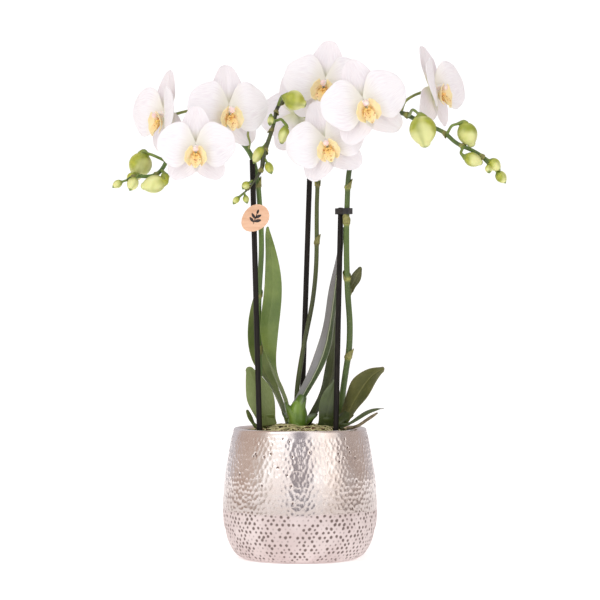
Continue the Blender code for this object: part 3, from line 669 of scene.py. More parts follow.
def build_bark(radii, heights):
    """Loose chips of bark over the growing medium, with strands of moss and root fibre between them."""
    rng = np.random.default_rng(11)
    brim = radii.max()
    shape = bmesh.new()
    for _ in range(CHIP_COUNT):
        reach = (brim - 1.5) * math.sqrt(rng.uniform())
        turn = rng.uniform(0.0, 2 * math.pi)
        size = rng.uniform(*CHIP_SIZES) / 2
        cloud = rng.uniform(-1.0, 1.0, (14, 3))
        cloud = cloud / np.maximum(abs(cloud).max(1), 0.75)[:, None] * size
        tilt = rng.normal(0.0, 0.35, 2)
        spin = rng.uniform(0.0, 2 * math.pi)
        cos, sin = math.cos(spin), math.sin(spin)
        cloud = cloud @ np.array([[cos, -sin, 0.0], [sin, cos, 0.0], [0.0, 0.0, 1.0]]).T
        cloud[:, 2] += cloud[:, 0] * tilt[0] + cloud[:, 1] * tilt[1]
        level = np.interp(reach, radii, heights) + rng.uniform(-0.2, 2.2)
        centre = np.array([reach * math.cos(turn), reach * math.sin(turn), level])
        hull = bmesh.ops.convex_hull(shape, input=[shape.verts.new(point) for point in cloud + centre])
        inner = [part for part in hull["geom_interior"] if isinstance(part, bmesh.types.BMVert)]
        bmesh.ops.delete(shape, geom=inner)
    data = bpy.data.meshes.new("bark_chips")
    shape.to_mesh(data)
    shape.free()
    data.transform(Matrix.Scale(MM, 4))
    data.materials.append(plain_look("bark", (86, 62, 40), (146, 112, 76), 0.9, 170.0, 0.5))
    chips = linked("bark_chips", data)
    bevel = chips.modifiers.new("worn", "BEVEL")
    bevel.width = 0.25 * MM
    bevel.segments = 2
    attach(chips, "root")
    strands = []
    for _ in range(STRAND_COUNT):
        reach = brim * math.sqrt(rng.uniform(0.05, 0.96))
        turn = rng.uniform(0.0, 2 * math.pi)
        heading = rng.uniform(0.0, 2 * math.pi)
        route = []
        for step in range(6):
            here = np.array([reach * math.cos(turn), reach * math.sin(turn)])
            away = here + STRAND_STEP * step * np.array([math.cos(heading), math.sin(heading)])
            away *= min(1.0, (brim - 1.0) / np.linalg.norm(away))
            level = np.interp(np.linalg.norm(away), radii, heights)
            level = level + 1.6 + 1.9 * math.sin(math.pi * (step + 0.5) / 6)
            route.append((*away, level + 0.7))
            heading += rng.normal(0.0, 0.55)
        line = smooth_line(route, 1.0)
        width = rng.uniform(0.22, 0.5)
        strands.append((loft(line, np.full(len(line), width), 6), {}))
    look = plain_look("moss", (166, 164, 108), (226, 216, 168), 0.85, 260.0, 0.2)
    moss = surfaces("moss_strands", strands, look, around=True)


# Stems, stakes, buds and leaves

# The height of the soil line, the distance between slices, and the reach in which a tube's first ring is found
SOIL = 97.0
STEP = 2.0
RING_REACH = 2.6
BUD_COLUMNS = 30
LEAF_STEP = 1.6
LEAF_THICKNESS = 1.4
LEAF_COLUMNS = 13
LEFT, RIB, RIGHT = slice(0, 3), slice(3, 6), slice(6, 9)  # of a leaf's rows of nine numbers
BRACT_WRAP = 2.5

# How far a spike runs down into its crown, how far before its highest point its upper nodes start, and the gap
# between those
SPIKE_SINK = 7.0
UPPER_START = 25.0
UPPER_GAP = 17.0

# Each spike's nodes, as heights above the soil, and the reach in which its slices are looked for
SPIKES = {
    "left": ((60.0, 104.0, 157.6, 188.0), 5.2),
    "centre": ((144.7, 190.0), 4.4),
    "right": ((57.0, 117.0, 159.5, 187.0), 5.6),
}

# The young buds at each spike's tip: where each starts on the spike, where it ends, both from the middle of the
# soil line, and its radius
YOUNG_BUDS = {
    "left": (
        ((-120.0, -22.2, 196.0), (-131.5, -15.0, 191.5), 4.5),
        ((-122.5, -22.8, 196.8), (-128.5, -31.0, 184.0), 4.4),
        ((-131.0, -24.6, 192.0), (-142.0, -25.5, 186.4), 3.1),
    ),
    "centre": (
        ((-24.0, -16.4, 222.6), (-35.2, -20.5, 205.0), 4.1),
        ((-26.8, -21.0, 208.5), (-21.6, -29.0, 196.6), 3.2),
        ((-36.0, -26.0, 191.5), (-43.5, -29.5, 185.0), 3.0),
        ((-42.5, -28.3, 182.6), (-40.0, -30.5, 174.0), 2.4),
        ((-43.6, -28.8, 181.0), (-50.5, -31.0, 173.5), 2.4),
    ),
    "right": (
        ((139.0, -22.8, 210.0), (151.5, -25.0, 199.5), 4.8),
        ((142.5, -23.0, 205.0), (143.0, -31.5, 197.0), 2.8),
        ((146.0, -23.4, 201.6), (156.0, -22.0, 190.0), 4.2),
    ),
}

# The leaves: their look, the reach in which their slices are looked for, and their slot
LEAVES = {
    "leaf_centre_tall_left": ("light_leaf", 9.0, "leaf_green"),
    "leaf_centre_tall_right": ("sheen_leaf", 9.0, "leaf_green"),
    "leaf_centre_rear_left": ("leaf", 9.0, "leaf_green"),
    "leaf_centre_rear_right": ("shaded_leaf", 9.0, "leaf_green"),
    "leaf_left_broad": ("leaf", 9.0, "leaf_green"),
    "leaf_left_short": ("leaf", 5.0, "leaf_green"),
    "leaf_right_spike": ("olive_leaf", 4.0, "leaf_olive"),
    "leaf_right_broad": ("olive_leaf", 9.0, "leaf_olive"),
    "leaf_right_thin": ("shaded_leaf", 5.0, "leaf_olive"),
    "leaf_right_stub": ("shaded_leaf", 7.0, "leaf_olive"),
}

# The leaves of each crown, how far up each its fleshy base runs, and how swollen that base is
SHEATHS = {
    "left": (("leaf_left_broad", 9.0, 0.8), ("leaf_left_short", 4.0, 0.7)),
    "centre": (
        ("leaf_centre_tall_left", 13.0, 1.25),
        ("leaf_centre_tall_right", 9.0, 1.25),
        ("leaf_centre_rear_left", 11.0, 0.9),
        ("leaf_centre_rear_right", 11.0, 0.9),
    ),
    "right": (("leaf_right_broad", 8.0, 0.8), ("leaf_right_stub", 7.0, 0.8), ("leaf_right_thin", 8.0, 0.5)),
}

# The bulb in the middle of the centre crown: how far it is above the crown's foot, and its radii
BULB_RISE = 12.0
BULB_RADII = (7.6, 7.2, 14.0)
BALL_ROWS = 14
BALL_COLUMNS = 18


def above_soil(point):
    return np.array(point) + SOIL * UP


def spike_of(side, reach):
    """A spike's line and radius from its foot to where its last bud starts."""
    triangles = corners(f"spike_{side}")
    foot, heading = cap_of(triangles, lowest(triangles), reach)
    end = above_soil(YOUNG_BUDS[side][-1][0])
    slices = follow(triangles, foot, heading, STEP, reach, end, stem=True)
    line = np.array([foot - heading * SPIKE_SINK, foot, *(found for found, _, _ in slices), end])
    radii = [radius for _, radius, _ in slices]
    width = np.array([radii[0], radii[0], *radii, radii[-1]])
    return relaxed(line, 10), relaxed(width, 30)


def bud_parts(line, width, stalk):
    """The grid and marks of a stalk that swells into a bud with three seams."""
    far = travelled(line)
    swell = smooth_step(width, stalk * 1.15, stalk * 1.9)
    first = far[np.argmax(swell > 0.5)]
    share = np.clip((far - first) / max(1.0, far[-1] - first), 0.0, 1.0)

    def relief(_, turn):
        seam = abs(np.sin(1.5 * turn + 0.4)) ** 18
        body = swell[:, None] * width[:, None]
        return body * (0.035 * np.cos(3 * turn + 0.8 + math.pi) - 0.03 * seam * (1 - share[:, None]) ** 0.3)

    grid = loft(line, width, BUD_COLUMNS, relief)
    turn = full_turn(BUD_COLUMNS)
    marks = {"swell": swell[:, None], "along": share[:, None], "seam": abs(np.sin(1.5 * turn + 0.4)) ** 10}
    return grid, marks


def rounded_tip(line, width):
    """The line and radius of a tube with its end closed by a small dome."""
    way = unit(line[-1] - line[-2])
    last = width[-1]
    turns = np.linspace(0.0, math.pi / 2, 5)[1:]
    more = [line[-1] + way * last * math.sin(turn) * 0.8 for turn in turns]
    narrower = [max(0.05, last * math.cos(turn)) for turn in turns]
    return np.vstack([line, more]), np.concatenate([width, narrower])


def straight_body(rows, stalk):
    """The rows of a bud with its body straight and egg-shaped from where its stalk swells."""
    first = int(np.argmax(rows[:, 3] > stalk * 0.5 + rows[:, 3].max() * 0.5))
    share = np.linspace(0.0, 1.0, 24)[:, None]
    body = rows[first, :3] * (1 - share) + rows[-1, :3] * share
    wide = rows[:, 3].max() * np.sin(math.pi * (0.1 + 0.82 * share**0.92)) ** 0.6
    return np.vstack([rows[:first], np.hstack([body, wide])])


def young_bud(foot, end, radius):
    """A small bud on a short curved stalk, from its foot on a spike to its end."""
    reach = end - foot
    length = np.linalg.norm(reach)
    sag = np.array([0.0, 0.0, 0.06 * length])
    stalk = ((0.0, 0.9), (0.18, 0.85), (0.34, 1.0))
    body = ((0.45, 0.72), (0.6, 0.97), (0.75, 0.95), (0.9, 0.6), (1.0, 0.16))
    shares = (*stalk, *((share, radius * wide) for share, wide in body))
    rows = [(*(foot + reach * share + sag * math.sin(math.pi * share)), wide) for share, wide in shares]
    rows = smooth_line(rows, 0.5)
    return bud_parts(*rounded_tip(rows[:, :3], rows[:, 3]), 0.95)


def bract(line, width, at, length, lean):
    """The grid of a thin sheath that wraps a stem at a node and ends in a point."""
    far = travelled(line)
    _, side, up = axes_along(line)
    rows = []
    for share in np.linspace(0.0, 1.0, 9):
        spot = min(at + length * share, far[-1])
        centre, across, over = (
            np.array([np.interp(spot, far, column) for column in which.T]) for which in (line, side, up)
        )
        reach = np.interp(spot, far, width) + 0.35 + 0.9 * share**2
        half = BRACT_WRAP * (1.0 - share**1.5) + 0.02
        turns = lean + np.linspace(-half, half, 15)
        rows.append([centre + reach * (across * math.cos(turn) + over * math.sin(turn)) for turn in turns])
    return np.array(rows)


def build_spikes():
    """The three spikes with their nodes, bracts and young buds. Returns the points of their lines."""
    looks = {
        "left": stem_look("spike_left", (96, 124, 52), (60, 82, 36), (128, 124, 66)),
        "centre": stem_look("spike_centre", (78, 88, 40), (48, 50, 28), (124, 112, 62)),
        "right": stem_look("spike_right", (84, 106, 44), (54, 70, 32), (168, 168, 84)),
    }
    papery = plain_look("bract_brown", (112, 108, 56), (146, 144, 82), 0.6, 420.0, 0.15)
    lines = []
    for side, (heights, reach) in SPIKES.items():
        line, width = spike_of(side, reach)
        line = smooth_line(line, 1.0)
        width = np.interp(np.linspace(0, 1, len(line)), np.linspace(0, 1, len(width)), width)
        far = travelled(line)
        top = line[:, 2].argmax()
        upper = far[top] - UPPER_START
        marks = [float(np.interp(height + SOIL, line[:top, 2], far[:top])) for height in heights]
        marks += list(np.arange(upper, far[-1] - 4.0, UPPER_GAP))
        bump = sum(np.exp(-(((far - at) / 1.5) ** 2)) for at in marks)
        grid = loft(line, width * (1.0 + 0.2 * bump), 20)
        ring = np.clip(bump, 0, 1)[:, None] * 0.8
        stem = surfaces(f"spike_{side}", [(grid, {"ring": ring})], looks[side], around=True)
        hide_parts(f"spike_{side}")
        lean = 0.6
        sheaths = []
        for at in marks:
            lean += 2.4
            size = 8.0 if at < upper else 3.6
            sheaths.append((bract(line, width * 1.12, at - 0.4, size, lean), {}))
        made = thicken(surfaces(f"bracts_{side}", sheaths, papery), 0.3)
        shoots = [
            young_bud(above_soil(foot), above_soil(end), radius) for foot, end, radius in YOUNG_BUDS[side]
        ]
        young = surfaces(f"young_buds_{side}", shoots, LOOKS["bud"], around=True)
        lines.append(line)
    return np.vstack(lines)


def nearest_spike_point(points, spikes):
    """The point of a node that lies nearest to any spike."""
    away = np.linalg.norm(points[:, None] - spikes[None], axis=2).min(1)
    return points[away.argmin()]


def nearest_of(point, spikes):
    """The point of the spikes' lines that lies nearest to a point."""
    return spikes[np.linalg.norm(spikes - point, axis=1).argmin()]


def onto_spike(start, heading, spikes):
    """A point on the nearest spike's line, for a stalk to grow out of."""
    return nearest_of(start - heading * 2.0, spikes)


def build_buds(spikes):
    """The buds on stalks of their own, each grown out of the nearest spike."""
    for node in sorted(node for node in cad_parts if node.startswith("bud_")):
        rows = rings_of(node, nearest_spike_point(farthest_pair(points_of(node)), spikes), RING_REACH)
        stalk = rows[0, 3]
        foot = onto_spike(rows[0, :3], unit(rows[1, :3] - rows[0, :3]), spikes)
        rows = smooth_line(np.vstack([[*foot, stalk * 1.25], rows]), 0.5)
        rows = straight_body(relaxed(rows, 3), stalk)
        grid = bud_parts(*rounded_tip(rows[:, :3], rows[:, 3]), stalk)
        made = surfaces(node, [grid], LOOKS["bud"], around=True)
        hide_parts(node)


def build_stakes():
    """The three straight canes."""
    look = stake_look()
    for side in ("left", "centre", "right"):
        node = f"stake_{side}"
        points = points_of(node)
        low = points[points[:, 2] < points[:, 2].min() + 0.8].mean(0)
        end = points[points[:, 2] > points[:, 2].max() - 0.8]
        top = end.mean(0)
        radius = np.linalg.norm(end - top, axis=1).max()
        line = smooth_line(np.array([low, low + (top - low) * 0.5, top]), 2.0)
        width = radius * smooth_step(travelled(line), -6.0, 6.0)
        made = surfaces(node, [(loft(line, width, 20), {})], look, around=True)
        bevel = made.modifiers.new("worn", "BEVEL")
        bevel.width = 0.3 * MM
        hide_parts(node)


def leaf_rows(node, reach):
    """A leaf's edges and midrib, as a row of nine numbers at each slice from its base, and where its tip is."""
    triangles = corners(node)
    base, heading = cap_of(triangles, lowest(triangles), reach)
    slices = follow(triangles, base, heading, LEAF_STEP, reach * 2.8)
    rows = []
    left = None
    for middle, _, cut in slices:
        points = cut.reshape(-1, 3)
        one, other = farthest_pair(points)
        if left is not None and np.linalg.norm(one - left) > np.linalg.norm(other - left):
            one, other = other, one
        left = one
        share = (points - one) @ (other - one) / max(1e-6, (other - one) @ (other - one))
        inner = points[(share > 0.35) & (share < 0.65)]
        rib = inner.mean(0) if len(inner) else middle
        rows.append((*one, *rib, *other))
    rows = np.array(rows)
    way = unit(rows[-1, RIB] - rows[-3, RIB])
    points, _ = distinct(triangles)
    beyond = points - rows[-1, RIB]
    near = np.linalg.norm(beyond, axis=1) < reach * 2
    tip = rows[-1, RIB] + way * max(0.5, (beyond @ way)[near].max())
    return relaxed(rows, 6), tip


def leaf_lines(node, reach):
    """A leaf's left edge, midrib and right edge, run into its crown below and round its tip above."""
    rows, tip = leaf_rows(node, reach)
    if rows[:, 0].mean() > rows[:, 6].mean():
        rows = np.hstack([rows[:, RIGHT], rows[:, RIB], rows[:, LEFT]])
    down = unit(rows[0, RIB] - rows[2, RIB])
    rows = np.vstack([rows[0] + np.tile(down * 5.0, 3), rows])
    far = travelled(rows[:, RIB])
    fine = np.arange(0.0, far[-1], 1.1)
    rows = np.stack([np.interp(fine, far, column) for column in rows.T], axis=1)
    rows = relaxed(rows, 5)
    last = rows[-1]
    half = (last[RIGHT] - last[LEFT]) / 2
    tip = last[RIB] + unit(tip - last[RIB]) * max(np.linalg.norm(tip - last[RIB]), np.linalg.norm(half))
    for turn in np.linspace(0.0, math.pi / 2, 9)[1:]:
        moved = last[RIB] + (tip - last[RIB]) * math.sin(turn)
        sag = (last[LEFT] + last[RIGHT]) / 2 - last[RIB]
        ends = [moved + (sag + side * half) * math.cos(turn) for side in (-1, 1)]
        rows = np.vstack([rows, [*ends[0], *moved, *ends[1]]])
    return rows[:, LEFT], rows[:, RIB], rows[:, RIGHT]


def build_leaf(node, look, reach):
    """A leaf with a creased midrib, thin wavy edges and a rounded tip. Returns its midrib and its breadths."""
    left, rib, right = leaf_lines(node, reach)
    along = unit_rows(np.gradient(rib, axis=0))
    chord = right - left
    lift = (left + right) / 2 - rib
    up = np.cross(along, chord)
    sign = np.sign((up * lift).sum(1).sum()) or 1.0
    up = unit_rows(up) * sign
    length = travelled(rib)
    wide = np.linalg.norm(chord, axis=1)
    seed = sum(map(ord, node)) * 0.37
    upper, lower, spots = [], [], np.linspace(-1.0, 1.0, LEAF_COLUMNS)
    for spot in spots:
        curve = rib + spot * chord / 2 + spot**2 * lift
        ripple = 0.045 * wide * spot**2 * np.sin(length / 9.0 + seed + 1.3 * np.sign(spot))
        crease = -0.35 * math.exp(-((spot / 0.13) ** 2)) * np.clip(wide / 10, 0, 1)
        thick = LEAF_THICKNESS * (0.24 + 0.76 * (1 - abs(spot) ** 1.6)) * np.clip(wide / 6.0, 0.3, 1.0)
        keel = 0.45 * math.exp(-((spot / 0.16) ** 2)) * np.clip(wide / 10, 0, 1)
        upper.append(curve + up * (ripple + crease + thick / 2)[:, None])
        lower.append(curve + up * (ripple - keel - thick / 2)[:, None])
    ring = np.stack([*upper, *lower[::-1]], axis=1)
    wider = np.concatenate([spots, spots[::-1]])[None, :]
    beneath = np.repeat([0.0, 1.0], LEAF_COLUMNS)[None, :]
    marks = {"across": wider, "along": (length / 30.0)[:, None] + 0 * wider, "under": beneath}
    if sign < 0:
        ring = ring[:, ::-1]
        marks = {key: np.broadcast_to(value, ring.shape[:2])[:, ::-1] for key, value in marks.items()}
    made = surfaces(node, [(ring, marks)], look, around=True)
    subdivide(made)
    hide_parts(node)
    return rib, chord


def leaf_base(foot, radius, rib, chord, reach):
    """The fleshy base of a leaf, from its foot on the crown to as far up the leaf as it reaches."""
    far = travelled(rib)
    at = int(np.searchsorted(far, reach))
    way = unit(rib[at + 3] - rib[at])
    bend = foot + UP * np.linalg.norm(rib[at] - foot) * 0.45
    share = np.linspace(0.0, 1.0, 22)[:, None]
    line = foot * (1 - share) ** 3 + 3 * bend * share * (1 - share) ** 2
    line = line + 3 * (rib[at] - way * 5.0) * share**2 * (1 - share) + rib[at] * share**3
    across = unit(chord[at])
    over = np.cross(way, across)
    broad = radius * (1 - share) ** 0.8 + max(0.6, np.linalg.norm(chord[at]) / 2 - 1.0) * share
    thick = radius * 0.9 * (1 - share) ** 0.9 + 0.8 * share**0.5
    turn = full_turn(24)[..., None]
    grid = line[:, None] + (broad[:, None] * np.cos(turn)) * across + (thick[:, None] * np.sin(turn)) * over
    return grid, {"along": share}


def build_sheaths(leaves):
    """The fleshy bases that join the leaves of each crown to its stem."""
    looks = {
        "left": sheath_look("leaf_base_left", (96, 114, 50), (126, 140, 76), (106, 122, 60)),
        "centre": sheath_look("leaf_base_centre", (82, 116, 28), (128, 158, 58), (76, 100, 42)),
        "right": sheath_look("leaf_base_right", (56, 70, 30), (92, 104, 52), (68, 82, 38)),
    }
    for side, names in SHEATHS.items():
        look = looks[side]
        points = points_of(f"crown_{side}")
        stem = points[points[:, 2] > SOIL]
        foot = np.array([*((stem.min(0) + stem.max(0)) / 2)[:2], SOIL - 2.0])
        radius = np.ptp(stem[:, :2], axis=0).min() / 2
        grids = [leaf_base(foot, radius * swell, *leaves[node], reach) for node, reach, swell in names]
        if side == "centre":
            bulb = round_grid(foot + UP * BULB_RISE, BULB_RADII)
            grids.append((bulb, {"along": np.linspace(0.0, 0.6, BALL_ROWS)[:, None]}))
        made = surfaces(f"leaf_bases_{side}", grids, look, around=True)


def build_leaves(spikes):
    """The leaves with the fleshy bases that join them to the crowns and, for one, to the nearest spike."""
    made = {node: build_leaf(node, LOOKS[look], reach) for node, (look, reach, slot) in LEAVES.items()}
    build_sheaths(made)
    rib, chord = made["leaf_right_spike"]
    foot = nearest_of(rib[0] - UP * 6.0, spikes)
    look = sheath_look("spike_leaf_base", (96, 104, 50), (132, 136, 76), (104, 98, 56))
    base = surfaces("spike_leaf_base", [leaf_base(foot, 1.6, rib, chord, 3.0)], look, around=True)


def build_root():
    """The aerial root on the right."""
    rows = rings_of("aerial_root_right", lowest(corners("aerial_root_right")), RING_REACH)
    rows = smooth_line(rows, 0.8)
    look = plain_look("root_brown", (84, 74, 54), (126, 116, 88), 0.75, 380.0, 0.25)
    grid = loft(rows[:, :3], rows[:, 3], 12)
    root = surfaces("aerial_root_right", [(grid, {})], look, around=True)
    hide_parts("aerial_root_right")


# Flowers

# A flower of size 1 as the CAD has it: the span of its petals, and how far up and forward of its heart the
# middle of that span and the middle of its lip are
PETAL_SPAN = 66.87
PAIR_PLACE = (1.25, -0.97)
LIP_MIDDLE = (-5.84, 5.99)

# The degrees by which the petals of the flowers seen from their side bend forward
SIDE_CUP = 20.0

# Petals and sepals in the flower's own frame, and the angle clockwise from up at which each runs out
PETAL = {"root": 0.6, "length": 33.2, "half_width": 18.8, "claw": 4.5, "depth": 0.3, "arch": 2.4, "sweep": -1.5,
         "cup": -0.8, "ruffle": 0.7}
PETAL_ANGLES = (80.0, -80.0)
SEPAL = {"root": 0.4, "half_width": 12.3, "claw": 4.6, "depth": -2.0, "arch": 0.0, "sweep": -3.3, "cup": 0.9,
         "ruffle": 0.4}
SEPAL_ANGLES = ((0.0, 35.0), (140.0, 33.0), (-140.0, 33.0))
TEPAL_ROWS = 34
TEPAL_COLUMNS = 27
TEPAL_THICKNESS = 0.5
LIP_THICKNESS = 0.55
STALK_RADIUS = 1.1
STALK_REACH = 2.6


class Flower:
    """The place, frame and size of a flower, read from its CAD petals and lip."""

    def __init__(self, name):
        self.name = name
        petals = points_of(f"flower_{name}_petals")
        lip = points_of(f"flower_{name}_lip")
        sepals = points_of(f"flower_{name}_sepals")
        one, other = farthest_pair(petals)
        self.size = np.linalg.norm(other - one) / PETAL_SPAN
        middle = (one + other) / 2
        tilt = math.atan2(LIP_MIDDLE[1] - PAIR_PLACE[1], LIP_MIDDLE[0] - PAIR_PLACE[0])
        best = None
        for right in (unit(other - one), unit(one - other)):
            toward = lip.mean(0) - middle
            toward = unit(toward - right * (toward @ right))
            beside = np.cross(right, toward)
            up = toward * math.cos(tilt) - beside * math.sin(tilt)
            forward = np.cross(right, up)
            score = (sepals.mean(0) - middle) @ forward
            if best is None or score < best[0]:
                best = (score, right, up, forward)
        self.axes = np.array(best[1:])
        self.centre = middle - self.size * np.array([0.0, *PAIR_PLACE]) @ self.axes

    def place(self, points):
        """Points of the flower's own frame, x right, y up and z forward, in the row frame."""
        return self.centre + self.size * points @ self.axes


def tepal_grid(angle, phase, root, length, half_width, claw, depth, arch, sweep, cup, ruffle):
    """A petal or sepal in the flower's own frame, with its marks."""
    along = np.sin(np.linspace(0.0, math.pi / 2, TEPAL_ROWS))[:, None]
    along = along * 0.6 + 0.4 * np.linspace(0.0, 1.0, TEPAL_ROWS)[:, None]
    across = np.linspace(-1.0, 1.0, TEPAL_COLUMNS)[None, :]
    bulge = np.sin(math.pi * np.minimum(along, 0.9999) ** 0.95) ** (1.15 - 0.73 * along)
    width = half_width * bulge + claw * (1 - along) ** 3
    edge = abs(across) ** 2.5
    wave = np.sin(along * 7.0 + phase + 1.7 * np.sign(across)) + 0.5 * np.sin(along * 15.0 + 2.1 * phase)
    reach = root + (length - root) * along + 0.02 * half_width * edge * np.sin(along * 11.0 + phase)
    side = across * width
    fold = -0.55 * np.exp(-((side / 1.6) ** 2)) * np.sin(math.pi * along**0.7)
    fans = 0.05 * np.sin(across * 16.0 + phase) * np.sin(math.pi * along) * (1 - edge)
    height = (
        depth + arch * np.sin(math.pi * along) + sweep * along**2 + cup * across**2 * bulge
        + fold + fans + ruffle * edge * wave * bulge
    )
    turn = math.radians(angle)
    x = reach * math.sin(turn) + side * math.cos(turn)
    y = reach * math.cos(turn) - side * math.sin(turn)
    return np.stack([x, y, height + 0 * x], axis=-1), {"along": along, "across": across}


def lip_grids(phase):
    """The lip's pointed middle lobe and the two broad side lobes that make its cup."""
    along = np.linspace(0.0, 1.0, 22)[:, None]
    across = np.linspace(-1.0, 1.0, 17)[None, :]
    width = 1.6 + 3.2 * np.sin(math.pi * (0.04 + 0.86 * along)) ** 1.5 - 1.5 * along**3
    x = across * np.maximum(width, 0.3)
    y = -5.4 - 11.6 * along + 1.0 * across**2 * (1 - along)
    z = 4.4 + 6.0 * np.sin(0.5 * math.pi * along) + 1.5 * across**2 * (1 - 0.6 * along)
    z = z - 0.6 * np.exp(-((across / 0.2) ** 2)) + 0.2 * np.sin(along * 12 + phase) * abs(across) ** 3
    marks = {"along": 0.1 + 0.35 * along + 0.1 * abs(across)}
    grids = [(np.stack([x, y + 0 * x, z], axis=-1), marks)]
    for hand in (-1, 1):
        turn = np.radians(np.linspace(-66.0, 74.0, 25))[None, :]
        reach = 9.4 * (1.0 - 0.1 * np.sin(turn * 2.0 + 0.4)) + 0.25 * np.sin(turn * 9.0 + phase)
        out = 1.6 + (reach - 1.6) * along
        x = hand * (out * np.cos(turn) + 0.3)
        y = -6.3 + 0.96 * out * np.sin(turn)
        z = 3.1 + 6.0 * along**1.5 + 0.9 * np.sin(turn) * along + 0.3 * along**2 * np.sin(turn * 6.0 + phase)
        z = z + 0.8 * np.exp(-(((along - 0.45) / 0.2) ** 2)) * np.cos(turn) ** 2
        grids.append((np.stack([x, y, z], axis=-1), {"along": along}))
    return grids


def round_grid(centre, radii):
    """The grid of a closed rounded body."""
    polar = np.linspace(0.06, math.pi - 0.06, BALL_ROWS)[:, None]
    turn = full_turn(BALL_COLUMNS)
    ball = [np.sin(polar) * np.cos(turn), np.sin(polar) * np.sin(turn), -np.cos(polar) + 0 * turn]
    return np.array(centre) + np.stack(ball, axis=-1) * np.array(radii)


def column_grids():
    """The column, its hooded cap and the small pale anther beneath the cap."""
    route = [(0.0, 0.2, -0.8), (0.0, 0.5, 2.5), (0.0, 0.5, 5.5), (0.0, -0.2, 7.6), (0.0, -1.0, 8.8)]
    line = smooth_line(route, 0.4)
    far = travelled(line) / travelled(line)[-1]
    width = 2.7 - 0.9 * np.sin(math.pi * far) ** 0.8 - 0.3 * far
    line, width = rounded_tip(line, width)
    share = np.linspace(0.0, 1.0, len(line))[:, None]
    anther = round_grid((0.0, -1.7, 8.3), (1.15, 1.0, 1.1))
    return [(loft(line, width, 22), {"along": share}), (anther, {"along": 0.9})]


def callus_grids():
    """The two small yellow swellings at the lip's base."""
    balls = [round_grid((hand * 1.0, -5.4, 6.4), (1.1, 1.0, 1.7)) for hand in (-1, 1)]
    return [(ball, {"along": 0.0}) for ball in balls]


def petal_parts(phase, cup):
    """The two petals, each bent forward by the cup's angle about an upright line through the heart."""
    grids = []
    for angle in PETAL_ANGLES:
        grid, marks = tepal_grid(angle, phase + angle, **PETAL)
        away = abs(grid[..., 0])
        bend = math.radians(cup) * np.clip(away / 8.0, 0.0, 1.0)
        grid[..., 2] += away * np.sin(bend)
        grid[..., 0] *= np.cos(bend)
        grids.append((grid, marks))
    return grids


def sepal_parts(phase):
    """The three sepals."""
    return [tepal_grid(angle, phase + angle, length=length, **SEPAL) for angle, length in SEPAL_ANGLES]


def placed(flower, grids):
    """Grids of the flower's own frame, moved to where it is."""
    return [(flower.place(grid), marks) for grid, marks in grids]


def stalk_line(flower, spikes):
    """A flower stalk from its spike to the flower's back."""
    triangles = corners(f"flower_{flower.name}_sepals")
    points, _ = distinct(triangles)
    start, heading = cap_of(triangles, nearest_spike_point(points, spikes), 2.4)
    back, inside = flower.place(np.array([[0.0, 0.0, -3.4], [0.0, 0.0, -1.5]]))
    slices = follow(triangles, start, heading, 1.5, STALK_REACH, back)
    foot = onto_spike(start, heading, spikes)
    line = np.array([foot, start, *(found for found, _, _ in slices), back, inside])
    return relaxed(smooth_line(line, 1.0), 6)


def build_flowers(spikes):
    """Each flower's sepals, petals, lip, callus, column and stalk."""
    nodes = [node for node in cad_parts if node.startswith("flower_")]
    names = sorted({node[len("flower_"):].rsplit("_", 1)[0] for node in nodes})
    stalk_look = stem_look("flower_stalk", (146, 154, 84), (112, 124, 62), (150, 140, 90))
    for number, name in enumerate(names):
        flower = Flower(name)
        phase = 1.9 * number
        cup = SIDE_CUP if name.startswith("far") else 0.0
        sheets = (
            ("sepals", sepal_parts(phase), "sepal", TEPAL_THICKNESS, "sepal_white"),
            ("petals", petal_parts(phase, cup), "petal", TEPAL_THICKNESS, "petal_white"),
            ("lip", lip_grids(phase), "lip", LIP_THICKNESS, "lip_yellow"),
        )
        for part, grids, look, thickness, slot in sheets:
            made = thicken(surfaces(f"flower_{name}_{part}", placed(flower, grids), LOOKS[look]), thickness)
            subdivide(made)
            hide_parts(f"flower_{name}_{part}")
        callus = surfaces(f"flower_{name}_callus", placed(flower, callus_grids()), LOOKS["lip"], around=True)
        column = surfaces(f"flower_{name}_column", placed(flower, column_grids()), LOOKS["column"], around=True)
        line = stalk_line(flower, spikes)
        far = travelled(line)
        neck = smooth_step(far, far[-1] - 14.0, far[-1] - 3.0)
        width = STALK_RADIUS + 0.35 * neck + 0.5 * smooth_step(-far, -2.5, 0.0)
        stalk = [(loft(line, width, 14), {"ring": smooth_step(-far, -3.0, 0.0)[:, None]})]
        stalk = surfaces(f"flower_{name}_stalk", stalk, stalk_look, around=True)


# Tag, clips and what keeps its CAD shape

# The printed sprig: where each of its strokes starts on the tag, the way it runs clockwise from up, its
# length and half its breadth
SPRIG = (
    (-1.4, -4.6, 20.0, 10.6, 0.35),
    (-0.6, -2.4, 78.0, 5.4, 1.15),
    (0.2, 0.2, 62.0, 5.2, 1.1),
    (-1.0, -2.9, -38.0, 4.8, 1.05),
    (0.0, -0.2, -30.0, 4.8, 1.0),
    (1.5, 3.4, 22.0, 3.6, 0.9),
)
INK_GAP = 0.12


def dress(node, look, remesh=None, bevel=None):
    """Give its material to a CAD node that keeps its shape, and soften its facets or edges."""
    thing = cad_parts[node]
    thing.data.materials.clear()
    thing.data.materials.append(look)
    if remesh:
        step = thing.modifiers.new("even", "REMESH")
        step.mode = "VOXEL"
        step.voxel_size = remesh * MM
        step.use_smooth_shade = True
        soft = thing.modifiers.new("soft", "SMOOTH")
        soft.factor = 0.5
        soft.iterations = 14
    if bevel:
        step = thing.modifiers.new("edges", "BEVEL")
        step.width = bevel * MM
        step.segments = 3
        step.limit_method = "ANGLE"


